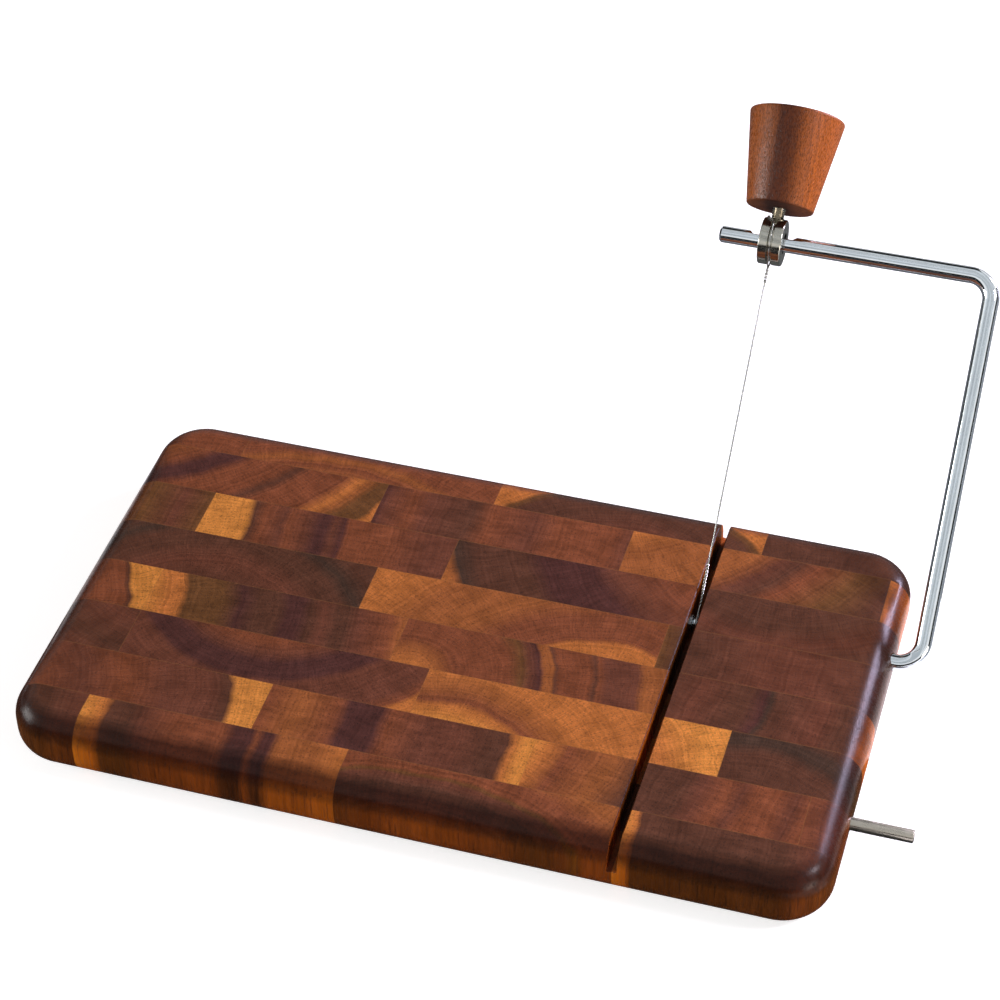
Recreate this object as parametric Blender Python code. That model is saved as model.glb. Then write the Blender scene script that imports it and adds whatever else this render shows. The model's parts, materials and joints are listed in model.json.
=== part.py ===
"""Cheese slicer board: a glued end-grain wood board with a sawn wire slot, a bent
steel bow hinged in a cross bore, a cutting wire tensioned by a wooden knob, and a
stop pin that the lowered bow lands on.

Metres, +Z up. The origin is the middle of the board's underside, +X runs along the
board towards the bow, +Y towards the back edge. The bow stands leaning back.
"""

import math

import bmesh
import bpy
from mathutils import Euler, Vector

# Board
BOARD_LENGTH = 0.305
BOARD_DEPTH = 0.176
BOARD_THICKNESS = 0.0255
CORNER_RADIUS = 0.019
EDGE_ROUND = 0.0105
EDGE_TRIM = 0.004
GLUE_LINE = 0.0003

# Wire slot, sawn from the front edge to the back edge
SLOT_WIDTH = 0.0038
SLOT_DEPTH = 0.0125
SLOT_FROM_RIGHT = 0.0749

# Bow: one bent steel rod
ROD_DIAMETER = 0.00635
BOW_REACH = 0.1477
BEND_RADIUS = 0.009
LEG_GAP = 0.0065
PIVOT_STRIP = 6
PIVOT_OFF_MIDDLE = 0.0011
PIVOT_HEIGHT = 0.0162
PIVOT_GRIP = 0.016
ARM_TAIL = 0.0204
ROD_CHAMFER = 0.0008
FLAT_LENGTH = 0.0185
FLAT_DEPTH = 0.0016
WIRE_SEAT_WIDTH = 0.0016
WIRE_SEAT_DEPTH = 0.0012
LEAN_BACK_DEG = 47.6

# Tension collar on the upper arm
COLLAR_DIAMETER = 0.0178
COLLAR_WIDTH = 0.0088
COLLAR_BORE = 0.0080
COLLAR_CHAMFER = 0.0005
COLLAR_RISE = 0.0002
GROOVE_MOUTH = 0.0019
GROOVE_FLOOR = 0.0013
GROOVE_DEPTH = 0.0013

# Threaded stud and wooden knob
STUD_DIAMETER = 0.005
STUD_PITCH = 0.0008
THREAD_DEPTH = 0.00045
KNOB_GAP = 0.004
STUD_IN_KNOB = 0.018
KNOB_HEIGHT = 0.0363
KNOB_SMALL_DIAMETER = 0.026
KNOB_LARGE_DIAMETER = 0.0366
KNOB_EASE = 0.0009

# Cutting wire
WIRE_DIAMETER = 0.0006
STRAND_GAP = 0.00055
TWIST_PITCH = 0.0027
LOWER_TWIST = 0.016
UPPER_TWIST = 0.0054
TWIST_LEAD = 0.0035
STRAND_MERGE = 0.002
# Where the upper loop climbs out of the groove and steps aside, from its end near the
# stud to its end away from it, as shares of the angle that the stud takes up
LOOP_CLIMB_SHARES = (2.6, 3.6)
LOOP_ASIDE_SHARES = (1.2, 2.5)

# Stop pin
PIN_DIAMETER = 0.00476
PIN_EXPOSED = 0.0225
PIN_SEAT = 0.020
PIN_CHAMFER = 0.0005
PIN_STRIP = 3
PIN_FROM_GLUE_LINE = 0.0028

# Gap kept between touching pieces, and the overrun of every cut
CLEARANCE = 0.0003
OVERRUN = 0.003

# Facets
CORNER_STEPS = 8
EDGE_STEPS = 6
ROD_SIDES = 20
ROUND_SIDES = 40
BEND_STEPS = 8
THREAD_SIDES = 14
THREAD_ROWS_PER_TURN = 4
TURN_POINTS = 9
LOOP_POINTS = 24
# Stretches of wire count as apart from this many diameters along it
APART_DIAMETERS = 4

# End joints of each strip, front strip first, as shares of the board's length from
# its left end. SLOT marks a joint that the wire slot hides. Each strip also names
# the tone of its blocks from left to right.
SLOT = "slot"
STRIP_SHARES = (
    ((0.095, 0.421, SLOT), ("chestnut", "russet", "umber", "umber")),
    ((0.300, 0.627, 0.954), ("chestnut", "chestnut", "russet", "russet")),
    ((0.100, 0.472, 0.843), ("chestnut", "russet", "amber", "umber")),
    ((0.099, 0.421, SLOT), ("russet", "umber", "russet", "chestnut")),
    ((0.356, 0.730), ("umber", "amber", "chestnut")),
    ((0.111, 0.438, SLOT), ("russet", "chestnut", "umber", "umber")),
    ((0.320, 0.646, 0.974), ("russet", "chestnut", "russet", "amber")),
    ((0.116, 0.461, 0.810), ("russet", "russet", "umber", "umber")),
)

TONES = {
    "amber": (0.46, 0.17, 0.055),
    "russet": (0.27, 0.085, 0.032),
    "chestnut": (0.19, 0.060, 0.028),
    "umber": (0.12, 0.045, 0.022),
    "knob": (0.36, 0.13, 0.050),
    "chrome": (0.78, 0.79, 0.80),
    "steel": (0.52, 0.51, 0.49),
    "wire": (0.75, 0.75, 0.75),
}
WOOD_ROUGHNESS = 0.32
CHROME_ROUGHNESS = 0.06
STEEL_ROUGHNESS = 0.28

# Places worked out from the sizes above
ROD_RADIUS = ROD_DIAMETER / 2
STRIP_COUNT = len(STRIP_SHARES)
STRIP_WIDTH = (BOARD_DEPTH + 2 * EDGE_TRIM) / STRIP_COUNT
BLANK_FRONT = -BOARD_DEPTH / 2 - EDGE_TRIM
SLOT_X = BOARD_LENGTH / 2 - SLOT_FROM_RIGHT
SLOT_FLOOR_Z = BOARD_THICKNESS - SLOT_DEPTH
PIVOT_Y = BLANK_FRONT + (PIVOT_STRIP - 0.5) * STRIP_WIDTH + PIVOT_OFF_MIDDLE
PIVOT = Vector((SLOT_X, PIVOT_Y, PIVOT_HEIGHT))
PIN_Y = BLANK_FRONT + (PIN_STRIP - 1) * STRIP_WIDTH + PIN_FROM_GLUE_LINE
PIN_Z = BOARD_THICKNESS / 2
LEG_X = BOARD_LENGTH / 2 + LEG_GAP + ROD_RADIUS - SLOT_X
PIVOT_END_X = -SLOT_WIDTH / 2 - PIVOT_GRIP
COLLAR_RADIUS = COLLAR_DIAMETER / 2
COLLAR_Z = BOW_REACH + COLLAR_RISE
KNOB_Z = COLLAR_Z + COLLAR_RADIUS + KNOB_GAP
FLAT_Z = BOW_REACH + ROD_RADIUS - FLAT_DEPTH
STUD_TIP_Z = FLAT_Z + CLEARANCE
WIRE_RADIUS = WIRE_DIAMETER / 2


def clear_scene():
    """Remove every object that the open file holds."""
    for obj in list(bpy.data.objects):
        bpy.data.objects.remove(obj, do_unlink=True)


def material(name, tone, roughness, metallic=0.0):
    """A Principled material of its own for one piece."""
    mat = bpy.data.materials.new(name)
    mat.use_nodes = True
    shader = mat.node_tree.nodes["Principled BSDF"]
    shader.inputs["Base Color"].default_value = (*TONES[tone], 1.0)
    shader.inputs["Roughness"].default_value = roughness
    shader.inputs["Metallic"].default_value = metallic
    mat.diffuse_color = (*TONES[tone], 1.0)
    return mat


def add_object(name, mesh, parent=None, location=(0, 0, 0)):
    """Link a mesh as an object, under its parent empty if it has one."""
    obj = bpy.data.objects.new(name, mesh)
    bpy.context.collection.objects.link(obj)
    obj.parent = parent
    obj.location = location
    return obj


def mesh_from(bm, name, sharp_angle=math.radians(35)):
    """Turn a bmesh into a smooth-shaded mesh with sharp corners kept sharp."""
    bmesh.ops.recalc_face_normals(bm, faces=bm.faces)
    mesh = bpy.data.meshes.new(name)
    bm.to_mesh(mesh)
    bm.free()
    mesh.shade_smooth()
    mesh.set_sharp_from_angle(angle=sharp_angle)
    return mesh


def loft(rings):
    """Close a stack of point rings, all of one length, into a solid."""
    bm = bmesh.new()
    loops = [[bm.verts.new(point) for point in ring] for ring in rings]
    count = len(loops[0])
    for lower, upper in zip(loops, loops[1:]):
        for i in range(count):
            j = (i + 1) % count
            bm.faces.new((lower[i], lower[j], upper[j], upper[i]))
    bm.faces.new(reversed(loops[0]))
    bm.faces.new(loops[-1])
    return bm


def turned(profile, sides=ROUND_SIDES):
    """Turn a list of (radius, height) points about Z into a solid."""
    rings = []
    for radius, height in profile:
        angles = (2 * math.pi * i / sides for i in range(sides))
        rings.append([Vector((radius * math.cos(a), radius * math.sin(a), height)) for a in angles])
    return loft(rings)


def along_x(bm):
    """Lay a solid that was turned about Z along X."""
    bm.transform(Euler((0, math.pi / 2, 0)).to_matrix().to_4x4())
    return bm


def cutter(name, bm, parent=None, location=(0, 0, 0)):
    """A solid that only cuts others."""
    obj = add_object(name, mesh_from(bm, name), parent, location)
    obj.hide_render = True
    obj.display_type = "WIRE"
    return obj


def cut(obj, tool):
    """Take a cutter out of an object."""
    modifier = obj.modifiers.new(tool.name, "BOOLEAN")
    modifier.operation = "DIFFERENCE"
    modifier.solver = "EXACT"
    modifier.object = tool


def box(low, high):
    """A box between two corners."""
    corners = ((low[0], low[1]), (high[0], low[1]), (high[0], high[1]), (low[0], high[1]))
    return loft([[Vector((x, y, z)) for x, y in corners] for z in (low[2], high[2])])


def cross_rod(diameter, start, end, chamfer=None):
    """A round rod along X between two places, its ends chamfered if asked."""
    radius = diameter / 2
    if chamfer is None:
        profile = [(radius, start), (radius, end)]
    else:
        profile = [
            (radius - chamfer, start),
            (radius, start + chamfer),
            (radius, end - chamfer),
            (radius - chamfer, end),
        ]
    return along_x(turned(profile, ROD_SIDES))


def edge_profile():
    """Inset and height along the board's rounded edge, from underside to top."""
    steps = [math.pi / 2 * i / EDGE_STEPS for i in range(EDGE_STEPS + 1)]
    lower = [(EDGE_ROUND * (1 - math.sin(a)), EDGE_ROUND * (1 - math.cos(a))) for a in steps]
    upper = [(inset, BOARD_THICKNESS - height) for inset, height in reversed(lower)]
    return lower + upper


def board_outline(inset, height):
    """The board's rounded rectangle, drawn in by an inset."""
    radius = CORNER_RADIUS - inset
    half_x = BOARD_LENGTH / 2 - CORNER_RADIUS
    half_y = BOARD_DEPTH / 2 - CORNER_RADIUS
    points = []
    for quarter, (side_x, side_y) in enumerate(((1, 1), (-1, 1), (-1, -1), (1, -1))):
        for step in range(CORNER_STEPS + 1):
            a = math.pi / 2 * (quarter + step / CORNER_STEPS)
            x = side_x * half_x + radius * math.cos(a)
            y = side_y * half_y + radius * math.sin(a)
            points.append(Vector((x, y, height)))
    return points


def board_blank():
    """The whole board before it is read as blocks."""
    return loft([board_outline(inset, height) for inset, height in edge_profile()])


def slice_off(bm, place, normal):
    """Cut a solid at a plane, drop what lies beyond it, and close the cut."""
    geometry = bm.verts[:] + bm.edges[:] + bm.faces[:]
    result = bmesh.ops.bisect_plane(
        bm, geom=geometry, plane_co=place, plane_no=normal, clear_outer=True
    )
    rim = [item for item in result["geom_cut"] if isinstance(item, bmesh.types.BMEdge)]
    bmesh.ops.edgeloop_fill(bm, edges=rim)


def strip_edges():
    """Where the strips start and end, from the front edge to the back edge."""
    half = BOARD_DEPTH / 2
    inner = [BLANK_FRONT + k * STRIP_WIDTH for k in range(1, STRIP_COUNT)]
    return [-half, *inner, half]


def strip_joints(shares):
    """Where the blocks of one strip start and end along X."""
    inner = [SLOT_X if s == SLOT else (s - 0.5) * BOARD_LENGTH for s in shares]
    return [-BOARD_LENGTH / 2, *inner, BOARD_LENGTH / 2]


def make_block(name, span_x, span_y, tone):
    """One glued block: the part of the blank between its joints."""
    bm = board_blank()
    half_glue = GLUE_LINE / 2
    half_size = (BOARD_LENGTH / 2, BOARD_DEPTH / 2)
    for axis, span in enumerate((span_x, span_y)):
        for side, place in zip((-1, 1), span):
            if abs(place) < half_size[axis]:
                point = Vector((0, 0, 0))
                point[axis] = place - side * half_glue
                normal = Vector((0, 0, 0))
                normal[axis] = side
                slice_off(bm, point, normal)
    obj = add_object(name, mesh_from(bm, name))
    obj.data.materials.append(material(name, tone, WOOD_ROUGHNESS))
    return obj


def spans_overlap(first, second):
    """Whether two spans on one axis share any length."""
    return first[0] < second[1] and second[0] < first[1]


def board_cutters():
    """The wire slot, the bow's cross bore and the stop pin's seat."""
    reach = BOARD_DEPTH / 2 + OVERRUN
    slot_low = (SLOT_X - SLOT_WIDTH / 2, -reach, SLOT_FLOOR_Z)
    slot_high = (SLOT_X + SLOT_WIDTH / 2, reach, BOARD_THICKNESS + OVERRUN)
    slot = cutter("slot_cutter", box(slot_low, slot_high))
    right = BOARD_LENGTH / 2 + OVERRUN
    bore_start = SLOT_X + PIVOT_END_X - CLEARANCE
    bore_width = ROD_DIAMETER + 2 * CLEARANCE
    bore_place = (0, PIVOT.y, PIVOT.z)
    bore = cutter("bore_cutter", cross_rod(bore_width, bore_start, right), location=bore_place)
    seat_start = BOARD_LENGTH / 2 - PIN_SEAT - CLEARANCE
    seat_width = PIN_DIAMETER + 2 * CLEARANCE
    seat_place = (0, PIN_Y, PIN_Z)
    seat = cutter("pin_seat_cutter", cross_rod(seat_width, seat_start, right), location=seat_place)
    half_bore = bore_width / 2
    half_seat = seat_width / 2
    return (
        (slot, (slot_low[0], slot_high[0]), (-reach, reach)),
        (bore, (bore_start, right), (PIVOT.y - half_bore, PIVOT.y + half_bore)),
        (seat, (seat_start, right), (PIN_Y - half_seat, PIN_Y + half_seat)),
    )


def make_board():
    """Every block of the board, strip by strip from the front."""
    tools = board_cutters()
    edges = strip_edges()
    for row, span_y in enumerate(zip(edges, edges[1:])):
        shares, tones = STRIP_SHARES[row]
        joints = strip_joints(shares)
        for column, span_x in enumerate(zip(joints, joints[1:])):
            name = f"board_row{row + 1}_block{column + 1}"
            block = make_block(name, span_x, span_y, tones[column])
            for tool, tool_x, tool_y in tools:
                if spans_overlap(span_x, tool_x) and spans_overlap(span_y, tool_y):
                    cut(block, tool)


def bow_path():
    """Points and radii along the bow's centre line, from its end in the board."""
    seat = WIRE_SEAT_WIDTH / 2
    slope = WIRE_SEAT_DEPTH / 2
    neck = ROD_RADIUS - WIRE_SEAT_DEPTH
    tip_x = -ARM_TAIL
    line = [
        (PIVOT_END_X, 0, ROD_RADIUS - ROD_CHAMFER),
        (PIVOT_END_X + ROD_CHAMFER, 0, ROD_RADIUS),
        (-seat - slope, 0, ROD_RADIUS),
        (-seat, 0, neck),
        (seat, 0, neck),
        (seat + slope, 0, ROD_RADIUS),
    ]
    corner_x = LEG_X - BEND_RADIUS
    for centre_z, start in ((BEND_RADIUS, -math.pi / 2), (BOW_REACH - BEND_RADIUS, 0)):
        for step in range(BEND_STEPS + 1):
            a = start + math.pi / 2 * step / BEND_STEPS
            x = corner_x + BEND_RADIUS * math.cos(a)
            z = centre_z + BEND_RADIUS * math.sin(a)
            line.append((x, z, ROD_RADIUS))
    line.append((tip_x + ROD_CHAMFER, BOW_REACH, ROD_RADIUS))
    line.append((tip_x, BOW_REACH, ROD_RADIUS - ROD_CHAMFER))
    return line


def bow_rings(line):
    """Rings square to the bow's centre line, which lies in the bow's XZ plane."""
    points = [Vector((x, 0, z)) for x, z, _ in line]
    rings = []
    for i, (_, _, radius) in enumerate(line):
        ahead = points[min(i + 1, len(points) - 1)] - points[i]
        behind = points[i] - points[max(i - 1, 0)]
        tangent = (ahead.normalized() + behind.normalized()).normalized()
        side = Vector((0, 1, 0))
        up = tangent.cross(side)
        ring = []
        for k in range(ROD_SIDES):
            a = 2 * math.pi * k / ROD_SIDES
            ring.append(points[i] + radius * (math.cos(a) * side + math.sin(a) * up))
        rings.append(ring)
    return rings


def flat_tool():
    """A wedge-sided bar that mills the flat on the upper arm."""
    half = FLAT_LENGTH / 2
    height = FLAT_DEPTH + OVERRUN
    rings = []
    for z, spread in ((FLAT_Z, 0), (FLAT_Z + height, height)):
        reach = half - FLAT_DEPTH + spread
        corners = ((-reach, -1), (reach, -1), (reach, 1), (-reach, 1))
        rings.append([Vector((x, side * ROD_DIAMETER, z)) for x, side in corners])
    return loft(rings)


def make_bow(pivot):
    """The bent rod with its wire seat, its milled flat and its chamfered ends."""
    bow = add_object("slicer_bow", mesh_from(loft(bow_rings(bow_path())), "slicer_bow"), pivot)
    bow.data.materials.append(material("slicer_bow", "chrome", CHROME_ROUGHNESS, 1.0))
    cut(bow, cutter("flat_cutter", flat_tool(), pivot))
    return bow


def make_collar(pivot):
    """The grooved collar: a bore for the arm and a tapped hole for the stud."""
    half = COLLAR_WIDTH / 2
    mouth = GROOVE_MOUTH / 2
    floor = GROOVE_FLOOR / 2
    valley = COLLAR_RADIUS - GROOVE_DEPTH
    profile = [
        (COLLAR_RADIUS - COLLAR_CHAMFER, -half),
        (COLLAR_RADIUS, -half + COLLAR_CHAMFER),
        (COLLAR_RADIUS, -mouth),
        (valley, -floor),
        (valley, floor),
        (COLLAR_RADIUS, mouth),
        (COLLAR_RADIUS, half - COLLAR_CHAMFER),
        (COLLAR_RADIUS - COLLAR_CHAMFER, half),
    ]
    place = (0, 0, COLLAR_Z)
    collar = add_object(
        "tension_collar", mesh_from(along_x(turned(profile)), "tension_collar"), pivot, place
    )
    collar.data.materials.append(material("tension_collar", "steel", STEEL_ROUGHNESS, 1.0))
    end = half + OVERRUN
    arm_bore = cross_rod(COLLAR_BORE, -end, end)
    cut(collar, cutter("collar_bore_cutter", arm_bore, pivot, place))
    hole_radius = STUD_DIAMETER / 2 + CLEARANCE
    hole = turned([(hole_radius, 0), (hole_radius, COLLAR_RADIUS + OVERRUN)], ROD_SIDES)
    cut(collar, cutter("stud_hole_cutter", hole, pivot, place))
    return collar


def threaded_rod(length, threaded, radius, pitch, depth):
    """A rod about Z from its tip up, with a helical thread on its lower length."""
    row_step = pitch / THREAD_ROWS_PER_TURN
    rows = round(threaded / row_step)
    rings = []
    for row in range(rows + 1):
        z = threaded * row / rows
        ring = []
        for k in range(THREAD_SIDES):
            a = 2 * math.pi * k / THREAD_SIDES
            phase = (z / pitch - k / THREAD_SIDES) % 1.0
            crest = 1 - abs(2 * phase - 1)
            fade = 0 if row in (0, rows) else 1
            r = radius - depth * (1 - crest * fade)
            ring.append(Vector((r * math.cos(a), r * math.sin(a), z)))
        rings.append(ring)
    root = radius - depth
    shank = []
    for k in range(THREAD_SIDES):
        a = 2 * math.pi * k / THREAD_SIDES
        shank.append(Vector((root * math.cos(a), root * math.sin(a), length)))
    rings.append(shank)
    return loft(rings)


def make_stud(pivot):
    """The threaded stud, from the flat on the arm up into the knob."""
    length = KNOB_Z - STUD_TIP_Z + STUD_IN_KNOB
    threaded = KNOB_Z - STUD_TIP_Z + KNOB_GAP
    bm = threaded_rod(length, threaded, STUD_DIAMETER / 2, STUD_PITCH, THREAD_DEPTH)
    stud = add_object("tension_stud", mesh_from(bm, "tension_stud"), pivot, (0, 0, STUD_TIP_Z))
    stud.data.materials.append(material("tension_stud", "steel", STEEL_ROUGHNESS, 1.0))
    return stud


def make_knob(pivot):
    """The turned wooden knob, wide end outwards, bored for the stud."""
    small = KNOB_SMALL_DIAMETER / 2
    large = KNOB_LARGE_DIAMETER / 2
    profile = [
        (small - KNOB_EASE, 0),
        (small, KNOB_EASE),
        (large, KNOB_HEIGHT - KNOB_EASE),
        (large - KNOB_EASE, KNOB_HEIGHT),
    ]
    place = (0, 0, KNOB_Z)
    knob = add_object("tension_knob", mesh_from(turned(profile), "tension_knob"), pivot, place)
    knob.data.materials.append(material("tension_knob", "knob", WOOD_ROUGHNESS))
    bore_radius = STUD_DIAMETER / 2 + CLEARANCE
    bore = turned([(bore_radius, -OVERRUN), (bore_radius, STUD_IN_KNOB + CLEARANCE)], ROD_SIDES)
    cut(knob, cutter("knob_bore_cutter", bore, pivot, place))
    return knob


def helix(start_z, end_z, start_angle, turns, offset):
    """Points of one strand that winds about the wire's own line."""
    count = max(2, round(abs(turns) * TURN_POINTS))
    points = []
    for i in range(count + 1):
        share = i / count
        a = start_angle + 2 * math.pi * turns * share
        z = start_z + (end_z - start_z) * share
        points.append(Vector((offset * math.cos(a), offset * math.sin(a), z)))
    return points


def loop_arc(centre_z, radius, strand_z, offset, upward):
    """Angles of a loop round a seat, from one strand's tangent point to the other's."""
    distance = math.hypot(offset, strand_z - centre_z)
    lead = math.atan2(offset, abs(strand_z - centre_z)) + math.acos(radius / distance)
    first = -math.pi / 2 + lead if upward else math.pi / 2 - lead
    last = -math.pi / 2 - lead + 2 * math.pi if upward else math.pi / 2 + lead - 2 * math.pi
    return [first + (last - first) * i / LOOP_POINTS for i in range(LOOP_POINTS + 1)]


def ease(value, low, high):
    """A smooth step from 0 at low to 1 at high."""
    share = min(1.0, max(0.0, (value - low) / (high - low)))
    return share * share * (3 - 2 * share)


def collar_loop(strand_z, offset):
    """The wire's upper loop: in the collar's groove, stepping aside at the stud."""
    seat = COLLAR_RADIUS - GROOVE_DEPTH + CLEARANCE + WIRE_RADIUS
    outside = COLLAR_RADIUS + CLEARANCE + WIRE_RADIUS
    aside = STUD_DIAMETER / 2 + CLEARANCE + WIRE_RADIUS
    stud_angle = math.asin(aside / outside)
    climb = [share * stud_angle for share in LOOP_CLIMB_SHARES]
    step_aside = [share * stud_angle for share in LOOP_ASIDE_SHARES]
    points = []
    for a in loop_arc(COLLAR_Z, seat, strand_z, offset, True):
        from_top = abs(a - math.pi / 2)
        lift = 1 - ease(from_top, *climb)
        shift = 1 - ease(from_top, *step_aside)
        radius = seat + (outside - seat) * lift
        y = radius * math.cos(a)
        z = COLLAR_Z + radius * math.sin(a)
        points.append(Vector((-aside * shift, y, z)))
    return points


def rod_loop(strand_z, offset):
    """The wire's lower loop, in the bow's turned seat."""
    seat = ROD_RADIUS - WIRE_SEAT_DEPTH + CLEARANCE + WIRE_RADIUS
    angles = loop_arc(0, seat, strand_z, offset, False)
    return [Vector((0, seat * math.cos(a), seat * math.sin(a))) for a in angles]


def wire_route():
    """The wire from its free end below, round both loops, to its free end above."""
    offset = (WIRE_DIAMETER + STRAND_GAP) / 2
    low_start = ROD_RADIUS + TWIST_LEAD
    low_end = low_start + LOWER_TWIST
    high_end = COLLAR_Z - COLLAR_RADIUS - TWIST_LEAD / 2
    high_start = high_end - UPPER_TWIST
    low_turns = LOWER_TWIST / TWIST_PITCH
    high_turns = UPPER_TWIST / TWIST_PITCH
    quarter = math.pi / 2
    route = list(reversed(helix(low_start, low_end, quarter, low_turns, offset)))
    route += rod_loop(low_start, offset)
    route += helix(low_start, low_end, -quarter, low_turns, offset)
    route.append(Vector((0, 0, low_end + STRAND_MERGE)))
    route.append(Vector((0, 0, high_start - STRAND_MERGE)))
    route += reversed(helix(high_end, high_start, quarter, high_turns, offset))
    route += collar_loop(high_end, offset)
    route += helix(high_end, high_start, -quarter, high_turns, offset)
    return route


def least_gap(route, diameter):
    """The least gap between stretches of a route that lie apart along it."""
    lengths = [0.0]
    for a, b in zip(route, route[1:]):
        lengths.append(lengths[-1] + (b - a).length)
    reach = APART_DIAMETERS * diameter
    gaps = []
    for i, a in enumerate(route):
        for j in range(i + 1, len(route)):
            if lengths[j] - lengths[i] > reach:
                gaps.append((route[j] - a).length - diameter)
    return min(gaps)


def make_wire(pivot):
    """The cutting wire as one round tube along its route."""
    route = wire_route()
    print(f"cutting wire, least gap to itself: {least_gap(route, WIRE_DIAMETER):.5f} m")
    curve = bpy.data.curves.new("cutting_wire", "CURVE")
    curve.dimensions = "3D"
    curve.bevel_depth = WIRE_RADIUS
    curve.bevel_resolution = 1
    curve.use_fill_caps = True
    spline = curve.splines.new("POLY")
    spline.points.add(len(route) - 1)
    for point, place in zip(spline.points, route):
        point.co = (*place, 1.0)
    wire = add_object("cutting_wire", curve, pivot)
    curve.materials.append(material("cutting_wire", "wire", CHROME_ROUGHNESS, 1.0))
    return wire


def make_stop_pin():
    """The steel pin pressed into the board's right edge."""
    right = BOARD_LENGTH / 2
    bm = cross_rod(PIN_DIAMETER, right - PIN_SEAT, right + PIN_EXPOSED, PIN_CHAMFER)
    pin = add_object("stop_pin", mesh_from(bm, "stop_pin"), location=(0, PIN_Y, PIN_Z))
    pin.data.materials.append(material("stop_pin", "steel", STEEL_ROUGHNESS, 1.0))
    return pin


def main():
    """Build the board, then everything that swings on the bow's pivot."""
    clear_scene()
    make_board()
    make_stop_pin()
    pivot = bpy.data.objects.new("bow_pivot", None)
    bpy.context.collection.objects.link(pivot)
    pivot.location = PIVOT
    pivot.rotation_euler = (-math.radians(LEAN_BACK_DEG), 0, 0)
    make_bow(pivot)
    make_collar(pivot)
    make_stud(pivot)
    make_knob(pivot)
    make_wire(pivot)
    bpy.context.view_layer.update()


if __name__ == "__main__":
    main()
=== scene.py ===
"""Looks of the cheese slicer board: an oiled end-grain board of 31 blocks, a polished rod
bow on its cross bore, a turned collar, a threaded stud, a wooden knob, a twisted cutting
wire and a satin stop pin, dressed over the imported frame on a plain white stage.

Metres, +Z up. Millimetres are used where a material's pattern or a block's growth rings
are drawn, and the names there say so.
"""

import json
import math

import bmesh
import bpy
from bpy.props import FloatProperty, FloatVectorProperty, PointerProperty
from mathutils import Euler, Matrix, Vector


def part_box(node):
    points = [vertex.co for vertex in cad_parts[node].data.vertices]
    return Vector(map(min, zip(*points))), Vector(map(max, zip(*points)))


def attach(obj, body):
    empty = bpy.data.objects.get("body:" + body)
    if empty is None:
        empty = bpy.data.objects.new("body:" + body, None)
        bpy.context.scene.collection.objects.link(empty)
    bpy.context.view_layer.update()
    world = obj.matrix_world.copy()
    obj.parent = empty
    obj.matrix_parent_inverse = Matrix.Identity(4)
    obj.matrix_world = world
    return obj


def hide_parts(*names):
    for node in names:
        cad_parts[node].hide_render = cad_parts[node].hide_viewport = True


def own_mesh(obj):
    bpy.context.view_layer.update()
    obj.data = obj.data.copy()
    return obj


bl_info = {
    "name": "Cheese slicer board",
    "version": (1, 0, 0),
    "blender": (4, 5, 0),
    "location": "3D View > Sidebar > Slicer",
    "description": "Builds an end-grain slicer board with its bow, wire and tension knob",
    "category": "Object",
}

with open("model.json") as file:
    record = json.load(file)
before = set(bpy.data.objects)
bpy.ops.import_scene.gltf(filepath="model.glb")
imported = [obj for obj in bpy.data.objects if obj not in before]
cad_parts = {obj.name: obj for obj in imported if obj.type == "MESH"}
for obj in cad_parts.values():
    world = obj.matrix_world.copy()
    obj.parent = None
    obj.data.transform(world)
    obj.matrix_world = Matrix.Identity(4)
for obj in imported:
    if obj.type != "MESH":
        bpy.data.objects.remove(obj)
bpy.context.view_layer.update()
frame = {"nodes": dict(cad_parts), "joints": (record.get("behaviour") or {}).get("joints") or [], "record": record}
JOINTS = {joint["name"]: joint for joint in frame["joints"]}
PIVOT = Vector(JOINTS["bow_hinge"]["pos_m"])
BOW_UP = -Vector(JOINTS["collar_slide"]["axis"])
PIN_LOW, PIN_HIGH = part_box("stop_pin")
PIN_MIDDLE = (PIN_LOW + PIN_HIGH) / 2

# The bow's own frame stands on the pivot and leans back with the bow at rest
LEAN_BACK = math.atan2(BOW_UP.y, BOW_UP.z)
BOW_FRAME = Matrix.Translation(PIVOT) @ Matrix.Rotation(-LEAN_BACK, 4, "X")

MM = 0.001
SLOT = "slot"
# How far a cutting tool reaches past the face that it opens
PAST = 0.003
# Room round the stud: beside it for the wire, and past its end inside the knob
STUD_GAP = 0.0003
# The wire's room over a seat, and how far from a seat its strands start to twist
WIRE_GAP = 0.00012
TWIST_LEAD = 0.0035
# A strand's distance from the wire's own line, in wire radii
STRAND_SPREAD = 1.06
# Where the lower twist ends: one strand dies away over this rise and share of a turn
TAIL_RISE, TAIL_TURN = 0.0016, 0.2
# The straight stretch starts and stops this far from the two twists
STRAIGHT_LOW, STRAIGHT_HIGH = 0.003, 0.002
STEPS_PER_TWIST, STEPS_PER_LOOP = 28, 72

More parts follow.
